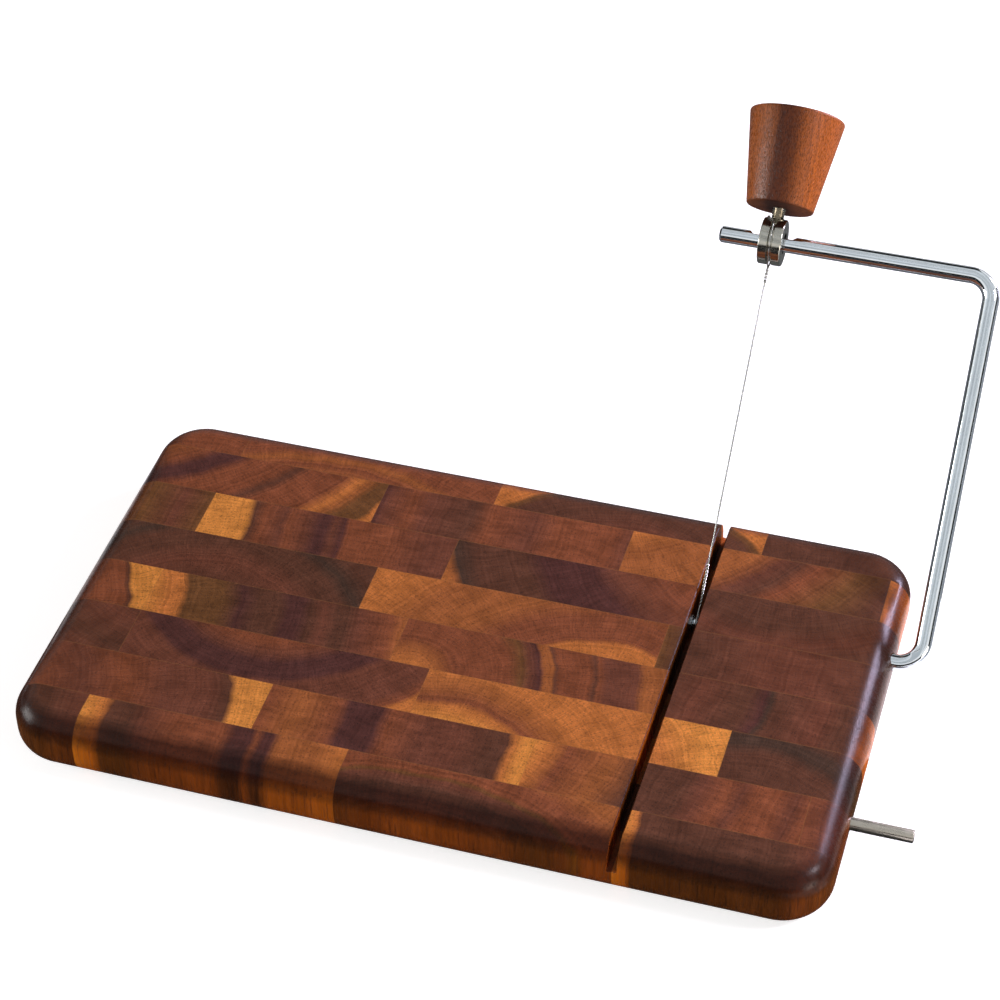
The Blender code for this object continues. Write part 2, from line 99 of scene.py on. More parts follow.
# Each strip of the board from the front edge: its end joints as shares of the length,
# then one line for each block from the left. A block was cut from a log whose middle
# lies at the first two numbers, in mm from the board's middle, and the last entry gives
# the tone of its wood at distances in mm from there.
STRIPS = (
    (
        (0.095, 0.421, SLOT),
        (-200, -80, "48 umber, 62 umber, 76 chestnut"),
        (-260, -78, "136 honey, 144 amber, 147 umber, 155 umber, 160 chestnut, 172 russet, "
         "190 russet, 194 plum, 200 plum, 202 russet, 205 plum, 208 plum, 211 copper, "
         "225 copper, 236 amber"),
        # Its paler tones near 100 mm run along the front edge: partly the wood's own tone, partly painted warm
        # light, as bounced up from the floor
        (9, -188, "98 copper, 101 russet, 104 chestnut, 108 umber, 113 chestnut, 114.5 olive, "
         "116 russet, 122 russet, 130 copper"),
        (-60, -78, "138 honey, 142.5 amber, 144.5 umber, 160 umber, 195 umber, "
         "203 chestnut, 212 umber"),
    ),
    (
        (0.300, 0.627, 0.954),
        (-171.4, -76.6, "20 russet, 45 chestnut, 60 russet, 75 chestnut, 92 chestnut, "
         "98.5 umber, 101 honey, 113 honey"),
        (-260, -57, "199 russet, 212 copper, 226 russet, 230 plum, 242 plum, 246 russet, "
         "258 chestnut, 272 chestnut, 284 umber, 289 umber, 292 amber, 296 honey, 299 honey"),
        (-31.8, -35.4, "70 honey, 77 amber, 81 copper, 84 russet, 100 copper, 112 umber, "
         "128 umber, 134 chestnut, 142 russet, 147 chestnut, 152 russet, 160 russet, "
         "166 chestnut, 172 russet"),
        (240, -57, "70 russet, 90 chestnut, 110 russet"),
    ),
    (
        (0.100, 0.472, 0.843),
        (-110, 20, "40 umber, 50 chestnut, 65 umber, 75 chestnut"),
        (-74, 14, "20 russet, 40 russet, 46 chestnut, 50 plum, 58 plum, 61 chestnut, "
         "76 chestnut, 81 russet, 83 amber, 90 amber"),
        (6, -78.2, "30 honey, 40 amber, 42.5 russet, 48 copper, 58 amber, 85 amber, "
         "100 honey, 120 honey"),
        (118, -80, "34 umber, 42 umber, 48 umber, 53 soot, 57 soot, 62 umber"),
    ),
    (
        (0.099, 0.421, SLOT),
        (-187.4, -33.6, "20 russet, 58 russet, 60 umber, 61.5 honey, 80 honey"),
        (-230, -40, "108 honey, 118 amber, 122.5 amber, 125 olive, 138 olive, 146 plum, "
         "152 umber, 160 umber, 164 plum, 169 plum, 173 umber, 178 chestnut, 183 umber, "
         "187 umber, 192 chestnut, 203 russet, 208 copper"),
        (-17, -27, "4 amber, 12 copper, 18 russet, 38 russet, 43 olive, 46 chestnut, "
         "49.5 plum, 51 copper, 54 copper, 55 umber, 56.5 russet, 68 russet, 70 umber, "
         "71.5 russet, 74 chestnut, 85 chestnut, 88 copper, 96 copper"),
        (-30, 6, "108 umber, 120 chestnut, 134 umber, 138 umber, 143 plum, 145 soot, "
         "147 umber, 165 chestnut, 172 umber, 178 umber, 181 amber"),
    ),
    (
        (0.356, 0.730),
        (-101, -34, "30 umber, 45 chestnut, 54 umber, 60 umber, 65 soot, 72 umber"),
        (54, -37.7, "20 amber, 44.5 amber, 47 russet, 58 russet, 68 copper, 88 copper, "
         "100 amber, 112 amber"),
        (0, 11, "70 olive, 78 umber, 82 umber, 110 chestnut, 125 chestnut, 150 umber"),
    ),
    (
        (0.111, 0.438, SLOT),
        (-250, 34, "98 copper, 108 olive, 120 chestnut, 131 olive"),
        (-250, 18, "131 honey, 149 honey, 151.5 umber, 156 russet, 164 chestnut, "
         "167 russet, 174 chestnut, 178 plum, 181 plum, 184 chestnut, 188 plum, "
         "190 russet, 205 russet, 222 chestnut, 232 chestnut"),
        (110, 90, "60 russet, 80 chestnut, 88 plum, 105 plum, 112 umber, 130 umber, "
         "138 soot, 141 copper, 146 amber"),
        (105, 90, "40 umber, 50 umber, 58 umber, 66 chestnut, 75 umber"),
    ),
    (
        (0.320, 0.646, 0.974),
        (-178, 121, "55 copper, 70 russet, 75 plum, 80 plum, 85 russet, 97 russet, "
         "101 umber, 105 russet, 118 russet, 124 amber, 127 copper, 131 olive, 138 olive, "
         "140 amber"),
        (-200, 57, "145 plum, 149 chestnut, 158 russet, 164 chestnut, 182 umber, "
         "190 russet, 207 chestnut, 216 russet, 238 russet, 245 chestnut"),
        (20, 120, "55 amber, 68 copper, 90 copper, 98 chestnut, 104 umber, 110 russet, "
         "125 olive, 138 umber"),
        (240, 57, "60 amber, 90 amber, 110 copper"),
    ),
    (
        (0.116, 0.461, 0.810),
        (-130, 30, "40 russet, 60 russet, 75 chestnut"),
        (-75, -20, "86 copper, 93 russet, 97 copper, 101 russet, 106 russet"),
        (43.4, 26.6, "0 chestnut, 40 chestnut, 52 umber, 62 umber, 65.5 olive, 67.5 amber, "
         "80 amber"),
        (120, 0, "60 umber, 72 umber, 80 umber, 95 chestnut"),
    ),
)

# Millimetres of the wood's own features
WARP_SPACING_MM = 13.0
WARP_REACH_MM = 2.4
RING_SPACING_MM = 1.3
RAY_SPACING_MM = 0.8
RAY_LENGTH_MM = 11.0
PORE_SPACING_MM = 1.15
PORE_RADIUS_MM = 0.24
MOTTLE_SPACING_MM = 0.5
MOTTLE_TURN = math.radians(33)
BLOTCH_SPACING_MM = 8.0
# Rays are counted on a circle of this radius about the growth centre
RAY_RADIUS_MM = 100
# Height along the fibres counts for this share of a distance across them
FIBRE_SHARE = 0.05
# Half the width of a glue line, and how strongly its colour covers the wood
GLUE_HALF_MM = 0.14
GLUE_STRENGTH = 0.25
# The board's roughness in its open pores, and on the smooth wood between them
BOARD_ROUGH, BOARD_GLOSS = 0.38, 0.2
# How strongly the oiled wood reflects, where 0.5 is a clear varnish
BOARD_SHEEN, KNOB_SHEEN = 0.11, 0.26
# Most values of a noise texture lie between these
NOISE_SPAN = {"From Min": 0.25, "From Max": 0.75}
# How the oil tints the wood, by how far its surface faces up, together with painted light
# and shade: painted shade darkens the rounded edge, and painted warm light, as bounced up
# from the floor, warms the upright sides
OIL_AND_SHADE_TINTS = (
    (0.05, (0.86, 0.7, 0.2)), (0.3, (0.46, 0.4, 0.2)), (0.55, (0.27, 0.22, 0.2)),
    (0.85, (0.3, 0.27, 0.3)), (0.97, (0.68, 0.7, 0.74)), (0.999, (0.99, 1.1, 1.18)),
)

# Smears on handled metal
SMEAR_SPACING_MM = 4.0

# The knob's long grain: millimetres across it, and its height along the fibres as a share
KNOB_WARP_SPACING_MM = 6.0
KNOB_WARP_REACH_MM = 4.5
KNOB_LINE_SPACING_MM = 0.9
KNOB_DASH_SPACING_MM = 0.42
KNOB_FIBRE_SHARE = 0.05
KNOB_DASH_SHARE = 0.28
KNOB_LEFT_MM, KNOB_RIGHT_MM = -16.0, 20.0
# Shares across the knob from left to right, and how far painted shade darkens its wood
# there. The bands are painted light and shade: darkest in the middle, between the side
# lamps, and at the left rim; the bands left at 0 stand for the side lamps' highlights
KNOB_SHADE_BANDS = (
    (0.0, 0.5), (0.1, 0.05), (0.24, 0.0), (0.32, 0.3), (0.4, 0.88), (0.52, 0.86), (0.6, 0.68),
    (0.7, 0.15), (0.8, 0.0), (1.0, 0.1),
)

# Camera, as fitted to the photograph
CAMERA_PLACE = (0.230784, -0.692023, 0.750043)
CAMERA_PITCH = 0.7352
CAMERA_YAW = -0.3056
CAMERA_ROLL = 0.0211
CAMERA_LENS = 99.67
CAMERA_SENSOR = 36.0

# What the floor and the world add: the floor's glow to the eye, and the fill light
FLOOR_REACH = 3.0
FLOOR_GLOW = 0.72
WORLD_FILL = 0.16

# Softboxes: name, direction from the board, width, height, watts and colour
LAMP_TARGET = (0.04, 0.02, 0.03)
LAMP_DISTANCE = 1.3
LAMPS = (
    ("right_softbox", (0.8, 0.05, 0.6), 0.28, 0.28, 8.0, "#F8F3FF"),
    ("low_right_softbox", (0.9, -0.4, 0.08), 0.5, 0.4, 6.5, "#FFF6EC"),
    ("left_softbox", (-0.93, -0.25, 0.2), 0.5, 0.5, 10.0, "#FFFFFF"),
    ("back_right_softbox", (0.62, 0.71, 0.34), 0.22, 0.5, 16.0, "#E6DCFF"),
)

# What only reflections see: neutral cards and walls, and cooler sheets and mats
CARD_COLOUR, SHEET_COLOUR = "#FFFFFF", "#DCE2E8"

# Upright cards: name, direction from the board, distance, width, height and brightness
CARDS = (
    ("back_flag", (-0.2235, 0.7087, 0.669), 1.2, 1.3, 0.8, 0.02),
    ("front_flag", (0.0, -1.0, 0.27), 1.1, 2.0, 0.26, 0.01),
    ("back_wall", (0.0, 1.0, 0.16), 1.25, 2.6, 0.55, 0.45),
)

# Mats on the table: name, nearest and furthest corner, and brightness
MAT_HEIGHT = 0.0004
MATS = (
    ("front_mat", (-1.4, -1.4), (0.178, 0.0), 0.05),
    ("back_mat", (-1.4, 0.09), (0.2, 0.6), 0.2),
    ("right_mat", (0.2, 0.0), (1.2, 0.6), 0.45),
    ("pin_mat", (0.178, PIN_LOW.y - 0.02), (0.22, PIN_LOW.y + 0.012), 0.1),
)

ROOM_RADIUS, ROOM_LOW, ROOM_HIGH = 1.5, 0.001, 0.45
ROOM_BRIGHTNESS = 0.015
ROOM_SIDES = 48

# The slatted ceiling is turned slantwise, so that it draws a fine line along both the
# bow's arm and its leg. Each strip: how far it lies to the side, its width and brightness
CEILING_HEIGHT = 1.6
CEILING_REACH = 2.2
CEILING_TURN = math.radians(-45)
CEILING_STRIPS = (
    (-1.9, 0.62, 0.95), (-1.24, 0.1, 0.04), (-1.08, 0.4, 0.75), (-0.6, 0.32, 1.0),
    (-0.26, 0.06, 0.04), (-0.12, 0.36, 0.8), (0.3, 0.07, 0.05), (0.46, 0.5, 1.0),
    (1.04, 0.1, 0.04), (1.2, 0.6, 0.85),
)


def linear(hex_colour):
    """An sRGB hex colour as linear red, green and blue."""
    values = [int(hex_colour[i : i + 2], 16) / 255 for i in (1, 3, 5)]
    return tuple(v / 12.92 if v <= 0.04045 else ((v + 0.055) / 1.055) ** 2.4 for v in values)


def size_property(name, description, default):
    """A length that a user may change."""
    return FloatProperty(
        name=name, description=description, default=default, min=0.0001, unit="LENGTH", precision=5
    )


def colour_property(name, description, hex_colour):
    """A colour that a user may change."""
    return FloatVectorProperty(
        name=name,
        description=description,
        default=linear(hex_colour),
        min=0.0,
        max=1.0,
        size=3,
        subtype="COLOR",
    )


class SlicerSizes(bpy.types.PropertyGroup):
    """Sizes of every piece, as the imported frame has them."""

    board_length: size_property("Board length", "Left edge to right edge", 0.305)
    board_depth: size_property("Board depth", "Front edge to back edge", 0.176)
    board_thickness: size_property("Board thickness", "Underside to top", 0.0255)
    corner_radius: size_property("Corner radius", "Radius of the board's four corners", 0.019)
    edge_round: size_property("Edge round", "Radius of the board's rounded edge", 0.0105)
    edge_trim: size_property("Edge trim", "Wood trimmed off the outer strips", 0.004)
    slot_width: size_property("Slot width", "Saw cut that takes the wire", 0.0038)
    slot_depth: size_property("Slot depth", "Depth of the saw cut", 0.0125)
    slot_ease: size_property("Slot ease", "Bevel along the top edges of the slot", 0.0004)
    rod_diameter: size_property("Rod diameter", "Round rod that the bow is bent from", 0.00635)
    bow_reach: size_property("Bow reach", "Pivot to the middle of the upper arm", 0.1477)
    bend_radius: size_property("Bend radius", "Radius of the rod's middle in its bends", 0.009)
    leg_gap: size_property("Leg gap", "Between the board's edge and the bow's leg", 0.0065)
    pivot_grip: size_property("Pivot grip", "Rod in the bore past the slot", 0.016)
    arm_tail: size_property("Arm tail", "Upper arm past the wire", 0.0204)
    rod_chamfer: size_property("Rod chamfer", "Bevel at the rod's ends", 0.0008)
    flat_length: size_property("Flat length", "Flat that the stud bears on", 0.0185)
    flat_depth: size_property("Flat depth", "How deep the flat is milled", 0.0016)
    seat_width: size_property("Wire seat width", "Groove for the lower loop", 0.0016)
    seat_depth: size_property("Wire seat depth", "Depth of that groove", 0.0012)
    collar_diameter: size_property("Collar diameter", "Over its two flanges", 0.0178)
    collar_width: size_property("Collar width", "Along the arm", 0.0088)
    collar_bore: size_property("Collar bore", "Hole for the arm", 0.0080)
    collar_rise: size_property("Collar rise", "Collar's middle above the arm's", 0.0002)
    groove_mouth: size_property("Groove mouth", "Width of the wire groove outside", 0.0019)
    groove_floor: size_property("Groove floor", "Width of the wire groove inside", 0.0013)
    groove_depth: size_property("Groove depth", "Depth of the wire groove", 0.0013)
    stud_diameter: size_property("Stud diameter", "Over the thread", 0.005)
    stud_pitch: size_property("Stud pitch", "One turn of the thread", 0.0008)
    thread_depth: size_property("Thread depth", "Crest to root", 0.00045)
    stud_in_knob: size_property("Stud in knob", "Length of stud held by the knob", 0.018)
    knob_gap: size_property("Knob gap", "Bare stud between collar and knob", 0.004)
    knob_height: size_property("Knob height", "Small end to wide end", 0.0363)
    knob_small: size_property("Knob small diameter", "End next to the collar", 0.026)
    knob_large: size_property("Knob large diameter", "Outer end", 0.0366)
    knob_ease: size_property("Knob ease", "Rounding of both ends", 0.0009)
    wire_diameter: size_property("Wire diameter", "Stainless cutting wire", 0.0006)
    twist_pitch: size_property("Twist pitch", "One turn of the twisted ends", 0.0027)
    lower_twist: size_property("Lower twist", "Twisted length above the pivot", 0.016)
    upper_twist: size_property("Upper twist", "Twisted length below the collar", 0.0054)
    pin_diameter: size_property("Pin diameter", "Stop pin", 0.00476)
    pin_chamfer: size_property("Pin chamfer", "Bevel at the pin's end", 0.0005)
    clearance: size_property("Clearance", "Round a rod in its bore", 0.0003)


class SlicerColours(bpy.types.PropertyGroup):
    """Colours of the wood, the metal and the stage."""

    honey: colour_property("Honey", "Palest sapwood", "#DA853A")
    amber: colour_property("Amber", "Sapwood", "#C26E34")
    copper: colour_property("Copper", "Light heartwood", "#A0592E")
    russet: colour_property("Russet", "Heartwood", "#88492D")
    chestnut: colour_property("Chestnut", "Dark heartwood", "#73402D")
    umber: colour_property("Umber", "Brown-black heartwood", "#623A29")
    olive: colour_property("Olive", "Green-brown bands", "#744828")
    plum: colour_property("Plum", "Purple-brown bands", "#58322A")
    soot: colour_property("Soot", "Darkest bands", "#4E3629")
    glue: colour_property("Glue line", "Dried wood glue", "#A2693A")
    knob_wood: colour_property("Knob wood", "Turned heartwood", "#9B5019")
    # Colour of the painted shade bands across the knob
    knob_shade_band: colour_property("Knob band", "Dark band in the knob", "#3E1708")
    polished: colour_property("Polished rod", "Bright plated steel", "#E4EAEE")
    turned: colour_property("Turned collar", "Nickel-plated steel", "#B8B5AA")
    threaded: colour_property("Threaded stud", "Zinc-plated steel", "#CEC6B6")
    satin: colour_property("Satin pin", "Plain stainless steel", "#BDB5A8")
    wire: colour_property("Wire", "Drawn stainless wire", "#BDBCB8")
    floor: colour_property("Floor", "Matt white sweep", "#E6E6E6")


def feed(tree, node, inputs):
    """Fill or link a node's inputs. A node that is given stands for its first output."""
    for socket, value in inputs.items():
        if isinstance(value, bpy.types.Node):
            value = value.outputs[0]
        if isinstance(value, bpy.types.NodeSocket):
            tree.links.new(value, node.inputs[socket])
        else:
            node.inputs[socket].default_value = value


def add(tree, kind, inputs=None, stops=(), **settings):
    """Add a node, set its settings and its ramp's stops, and fill or link its inputs."""
    made = tree.nodes.new(kind)
    for name, value in settings.items():
        setattr(made, name, value)
    feed(tree, made, inputs or {})
    for _ in stops[2:]:
        made.color_ramp.elements.new(0.5)
    for index, (place, tone) in enumerate(stops):
        element = made.color_ramp.elements[index]
        element.position, element.color = place, (*tone, 1.0)
    return made


def new_material(name, base, roughness, metallic=0.0):
    """A Principled material, its tree and its shader."""
    material = bpy.data.materials.new(name)
    material.use_nodes = True
    shader = material.node_tree.nodes["Principled BSDF"]
    feed(material.node_tree, shader, {
        "Base Color": (*base, 1.0), "Roughness": roughness, "Metallic": metallic})
    material.diffuse_color = (*base, 1.0)
    return material, material.node_tree, shader


def end_grain_group():
    """What every block shares: rings, rays, pores and mottle about its growth centre.

    The fibres stand upright in the board, so height counts for little and the patterns
    run down its edges as streaks."""
    group = bpy.data.node_groups.new("end_grain_figure", "ShaderNodeTree")
    face = group.interface
    face.new_socket("Place mm", in_out="INPUT", socket_type="NodeSocketVector")
    for name in ("Distance mm", "Light", "Height"):
        face.new_socket(name, in_out="OUTPUT", socket_type="NodeSocketFloat")
    start = add(group, "NodeGroupInput").outputs["Place mm"]
    fibre = add(group, "ShaderNodeVectorMath", {0: start, 1: (1, 1, FIBRE_SHARE)},
                operation="MULTIPLY")
    warp = add(group, "ShaderNodeTexNoise", {
        "Vector": fibre, "Scale": 1 / WARP_SPACING_MM, "Detail": 5.0, "Roughness": 0.52})
    push = add(group, "ShaderNodeVectorMath", {0: warp.outputs["Color"], 1: (0.5, 0.5, 0.5)},
               operation="SUBTRACT")
    pushed = add(group, "ShaderNodeVectorMath", {0: push, 1: (2 * WARP_REACH_MM,) * 3, 2: fibre},
                 operation="MULTIPLY_ADD")
    flat = add(group, "ShaderNodeVectorMath", {0: pushed, 1: (1, 1, 0)}, operation="MULTIPLY")
    distance = add(group, "ShaderNodeVectorMath", {0: flat}, operation="LENGTH").outputs["Value"]

    rings = add(group, "ShaderNodeTexNoise", {
        "W": distance, "Scale": 1 / RING_SPACING_MM, "Detail": 2.0, "Roughness": 0.6},
        noise_dimensions="1D").outputs["Fac"]
    axes = add(group, "ShaderNodeSeparateXYZ", {0: pushed})
    angle = add(group, "ShaderNodeMath", {0: axes.outputs["Y"], 1: axes.outputs["X"]},
                operation="ARCTAN2")
    # A ray is a thin line straight out from the growth centre
    across = add(group, "ShaderNodeMath", {0: angle, 1: RAY_RADIUS_MM / RAY_SPACING_MM},
                 operation="MULTIPLY")
    along = add(group, "ShaderNodeMath", {0: distance, 1: RAY_LENGTH_MM}, operation="DIVIDE")
    upright = add(group, "ShaderNodeSeparateXYZ", {0: fibre}).outputs["Z"]
    ray_place = add(group, "ShaderNodeCombineXYZ", {"X": across, "Y": along, "Z": upright})
    rays = add(group, "ShaderNodeTexNoise", {
        "Vector": ray_place, "Scale": 1.0, "Detail": 1.0}).outputs["Fac"]
    skewed = add(group, "ShaderNodeMapping", {
        "Vector": fibre, "Rotation": (0.0, 0.0, MOTTLE_TURN)})
    mottle = add(group, "ShaderNodeTexNoise", {
        "Vector": skewed, "Scale": 1 / MOTTLE_SPACING_MM, "Detail": 3.0,
        "Roughness": 0.65}).outputs["Fac"]
    blotch = add(group, "ShaderNodeTexNoise", {
        "Vector": fibre, "Scale": 1 / BLOTCH_SPACING_MM, "Detail": 3.0}).outputs["Fac"]
    pores = add(group, "ShaderNodeTexVoronoi", {
        "Vector": fibre, "Scale": 1 / PORE_SPACING_MM}).outputs["Distance"]
    pore_share = PORE_RADIUS_MM / PORE_SPACING_MM
    closed = add(group, "ShaderNodeMapRange", {
        "Value": pores, "From Min": pore_share, "From Max": 2 * pore_share})

    # What each pattern leaves of the tone, at its darkest and its lightest
    light = None
    for value, low, high in (
        (rings, 0.86, 1.14), (rays, 0.84, 1.16), (mottle, 0.74, 1.26),
        (blotch, 0.76, 1.24), (closed, 0.74, 1.04),
    ):
        share = add(group, "ShaderNodeMapRange", {
            "Value": value, **NOISE_SPAN, "To Min": low, "To Max": high})
        light = share if light is None else add(
            group, "ShaderNodeMath", {0: light, 1: share}, operation="MULTIPLY")
    height = add(group, "ShaderNodeMath", {0: mottle, 1: closed}, operation="MULTIPLY")
    add(group, "NodeGroupOutput", {"Distance mm": distance, "Light": light, "Height": height})
    return group


def block_material(name, group, colours, centre, zones, span_x, span_y):
    """Oiled end-grain hardwood, sawn, glued and sanded through fine grits: the cut fibres
    drink the oil and go deep and warm, the thin oil film leaves a soft gloss that shows
    best along the rounded edge."""
    steps = [entry.split() for entry in zones.split(", ")]
    rings = [(float(place), getattr(colours, tone)) for place, tone in steps]
    low, high = rings[0][0] - 1.0, rings[-1][0] + 1.0
    material, tree, shader = new_material(name, rings[0][1], BOARD_ROUGH)
    object_place = add(tree, "ShaderNodeTexCoord").outputs["Object"]
    place_mm = add(tree, "ShaderNodeMapping", {
        "Vector": object_place, "Location": (-centre[0], -centre[1], 0.0),
        "Scale": (1 / MM,) * 3})
    figure = add(tree, "ShaderNodeGroup", {0: place_mm}, node_tree=group)
    share = add(tree, "ShaderNodeMapRange", {
        "Value": figure.outputs["Distance mm"], "From Min": low, "From Max": high})
    toned = add(tree, "ShaderNodeValToRGB", {"Fac": share}, stops=[
        ((place - low) / (high - low), tone) for place, tone in rings]).outputs["Color"]
    lit = add(tree, "ShaderNodeVectorMath", {
        0: toned, "Scale": figure.outputs["Light"]}, operation="SCALE")

    # A thin line of glue shows along the block's own four glued faces: how deep a point
    # lies inside them, in metres
    middle = [(a + b) / 2 for a, b in (span_x, span_y)]
    half = [(b - a) / 2 for a, b in (span_x, span_y)]
    offset = add(tree, "ShaderNodeVectorMath", {0: object_place, 1: (*middle, 0.0)},
                 operation="SUBTRACT")
    size = add(tree, "ShaderNodeVectorMath", {0: offset}, operation="ABSOLUTE")
    inside = add(tree, "ShaderNodeVectorMath", {0: size, 1: (*half, 0.0)}, operation="SUBTRACT")
    faces = add(tree, "ShaderNodeSeparateXYZ", {0: inside})
    nearest = add(tree, "ShaderNodeMath", {0: faces.outputs["X"], 1: faces.outputs["Y"]},
                  operation="MAXIMUM")
    glue = add(tree, "ShaderNodeMapRange", {
        "Value": nearest, "From Min": -2 * GLUE_HALF_MM * MM,
        "From Max": -0.5 * GLUE_HALF_MM * MM, "To Max": GLUE_STRENGTH})
    glued = add(tree, "ShaderNodeMix", {0: glue, 6: lit, 7: (*colours.glue, 1.0)},
                data_type="RGBA").outputs[2]
    # Long grain on the upright sides takes less oil than the rounded edge and stays more
    # orange, and painted warm light from the floor's bounce warms it further. The rounded
    # edge is cut at a slant, so it drinks the most oil, and painted shade darkens it further
    facing = add(tree, "ShaderNodeNewGeometry").outputs["Normal"]
    slope = add(tree, "ShaderNodeSeparateXYZ", {0: facing}).outputs["Z"]
    oil_and_shade = add(tree, "ShaderNodeValToRGB", {"Fac": slope}, stops=OIL_AND_SHADE_TINTS)
    oiled = add(tree, "ShaderNodeVectorMath", {0: glued, 1: oil_and_shade.outputs["Color"]},
                operation="MULTIPLY")

    rough = add(tree, "ShaderNodeMapRange", {
        "Value": figure.outputs["Height"], "From Min": 0.1, "From Max": 0.7,
        "To Min": BOARD_ROUGH, "To Max": BOARD_GLOSS})
    bump = add(tree, "ShaderNodeBump", {
        "Strength": 0.35, "Distance": 0.06 * MM, "Height": figure.outputs["Height"]})
    feed(tree, shader, {
        "Base Color": oiled, "Roughness": rough, "Normal": bump, "IOR": 1.5,
        "Specular IOR Level": BOARD_SHEEN})
    return material


def bow_place_mm(tree, height=0.0):
    """Object coordinates turned into the bow's own frame, in mm from a height above the
    pivot."""
    start = BOW_FRAME @ Vector((0, 0, height))
    return add(tree, "ShaderNodeMapping", {
        "Vector": add(tree, "ShaderNodeTexCoord").outputs["Object"], "Location": start,
        "Rotation": (-LEAN_BACK, 0, 0), "Scale": (MM, MM, MM)}, vector_type="TEXTURE")


def knob_material(colours, height):
    """Oiled hardwood turned on a lathe: long grain runs from end to end, so the open pores
    show as short dark dashes, and the hand-rubbed oil leaves a soft gloss."""
    material, tree, shader = new_material("turned_hardwood", colours.knob_wood, 0.4)
    place = bow_place_mm(tree, height)
    fibre = add(tree, "ShaderNodeVectorMath", {0: place, 1: (1, 1, KNOB_FIBRE_SHARE)},
                operation="MULTIPLY")
    warp = add(tree, "ShaderNodeTexNoise", {
        "Vector": fibre, "Scale": 1 / KNOB_WARP_SPACING_MM, "Detail": 4.0}).outputs["Color"]
    push = add(tree, "ShaderNodeVectorMath", {
        0: warp, 1: (KNOB_WARP_REACH_MM, 0.0, 0.0), 2: fibre}, operation="MULTIPLY_ADD")
    # Painted light and shade: upright bands from left to right, dark in the middle between
    # the side lamps and lightest where the lamps' painted highlights fall
    across = add(tree, "ShaderNodeSeparateXYZ", {0: push}).outputs["X"]
    share = add(tree, "ShaderNodeMapRange", {
        "Value": across, "From Min": KNOB_LEFT_MM, "From Max": KNOB_RIGHT_MM})
    shaded_tones = [
        (place, [dark * band + (1 - dark) * wood
                 for band, wood in zip(colours.knob_shade_band, colours.knob_wood)])
        for place, dark in KNOB_SHADE_BANDS
    ]
    bands = add(tree, "ShaderNodeValToRGB", {"Fac": share}, stops=shaded_tones).outputs["Color"]
    fine = add(tree, "ShaderNodeTexNoise", {
        "W": across, "Scale": 1 / KNOB_LINE_SPACING_MM, "Detail": 3.0},
        noise_dimensions="1D").outputs["Fac"]
    line = add(tree, "ShaderNodeMapRange", {
        "Value": fine, "From Min": 0.3, "From Max": 0.7, "To Min": 0.84, "To Max": 1.14})
    ramp = add(tree, "ShaderNodeVectorMath", {0: bands, "Scale": line}, operation="SCALE")
    dash_place = add(tree, "ShaderNodeVectorMath", {0: place, 1: (1, 1, KNOB_DASH_SHARE)},
                     operation="MULTIPLY")
    pores = add(tree, "ShaderNodeTexVoronoi", {
        "Vector": dash_place, "Scale": 1 / KNOB_DASH_SPACING_MM}).outputs["Distance"]
    dash = add(tree, "ShaderNodeMapRange", {
        "Value": pores, "From Min": 0.16, "From Max": 0.36, "To Min": 0.3, "To Max": 1.12})
    mottle = add(tree, "ShaderNodeTexNoise", {
        "Vector": dash_place, "Scale": 1 / KNOB_DASH_SPACING_MM, "Detail": 3.0}).outputs["Fac"]
    shade = add(tree, "ShaderNodeMapRange", {
        "Value": mottle, **NOISE_SPAN, "To Min": 0.52, "To Max": 1.48})
    both = add(tree, "ShaderNodeMath", {0: dash, 1: shade}, operation="MULTIPLY")
    lit = add(tree, "ShaderNodeVectorMath", {0: ramp, "Scale": both}, operation="SCALE")
    # The small end is cut across the grain: it drinks more oil, and is darker and duller
    up = add(tree, "ShaderNodeSeparateXYZ", {0: place}).outputs["Z"]
    side = add(tree, "ShaderNodeMapRange", {"Value": up, "From Min": 0.1, "From Max": 0.9})
    dim = add(tree, "ShaderNodeMapRange", {"Value": side, "To Min": 0.42})
    dimmed = add(tree, "ShaderNodeVectorMath", {0: lit, "Scale": dim}, operation="SCALE")
    rough = add(tree, "ShaderNodeMapRange", {
        "Value": mottle, "From Min": 0.3, "From Max": 0.7, "To Min": 0.22, "To Max": 0.36})
    dull = add(tree, "ShaderNodeMapRange", {"Value": side, "To Min": 0.85, "To Max": 0.0})
    roughest = add(tree, "ShaderNodeMath", {0: rough, 1: dull}, operation="MAXIMUM")
    bump = add(tree, "ShaderNodeBump", {"Strength": 0.8, "Distance": 0.08 * MM, "Height": both})
    feed(tree, shader, {
        "Base Color": dimmed, "Roughness": roughest, "Normal": bump,
        "Specular IOR Level": KNOB_SHEEN})
    return material


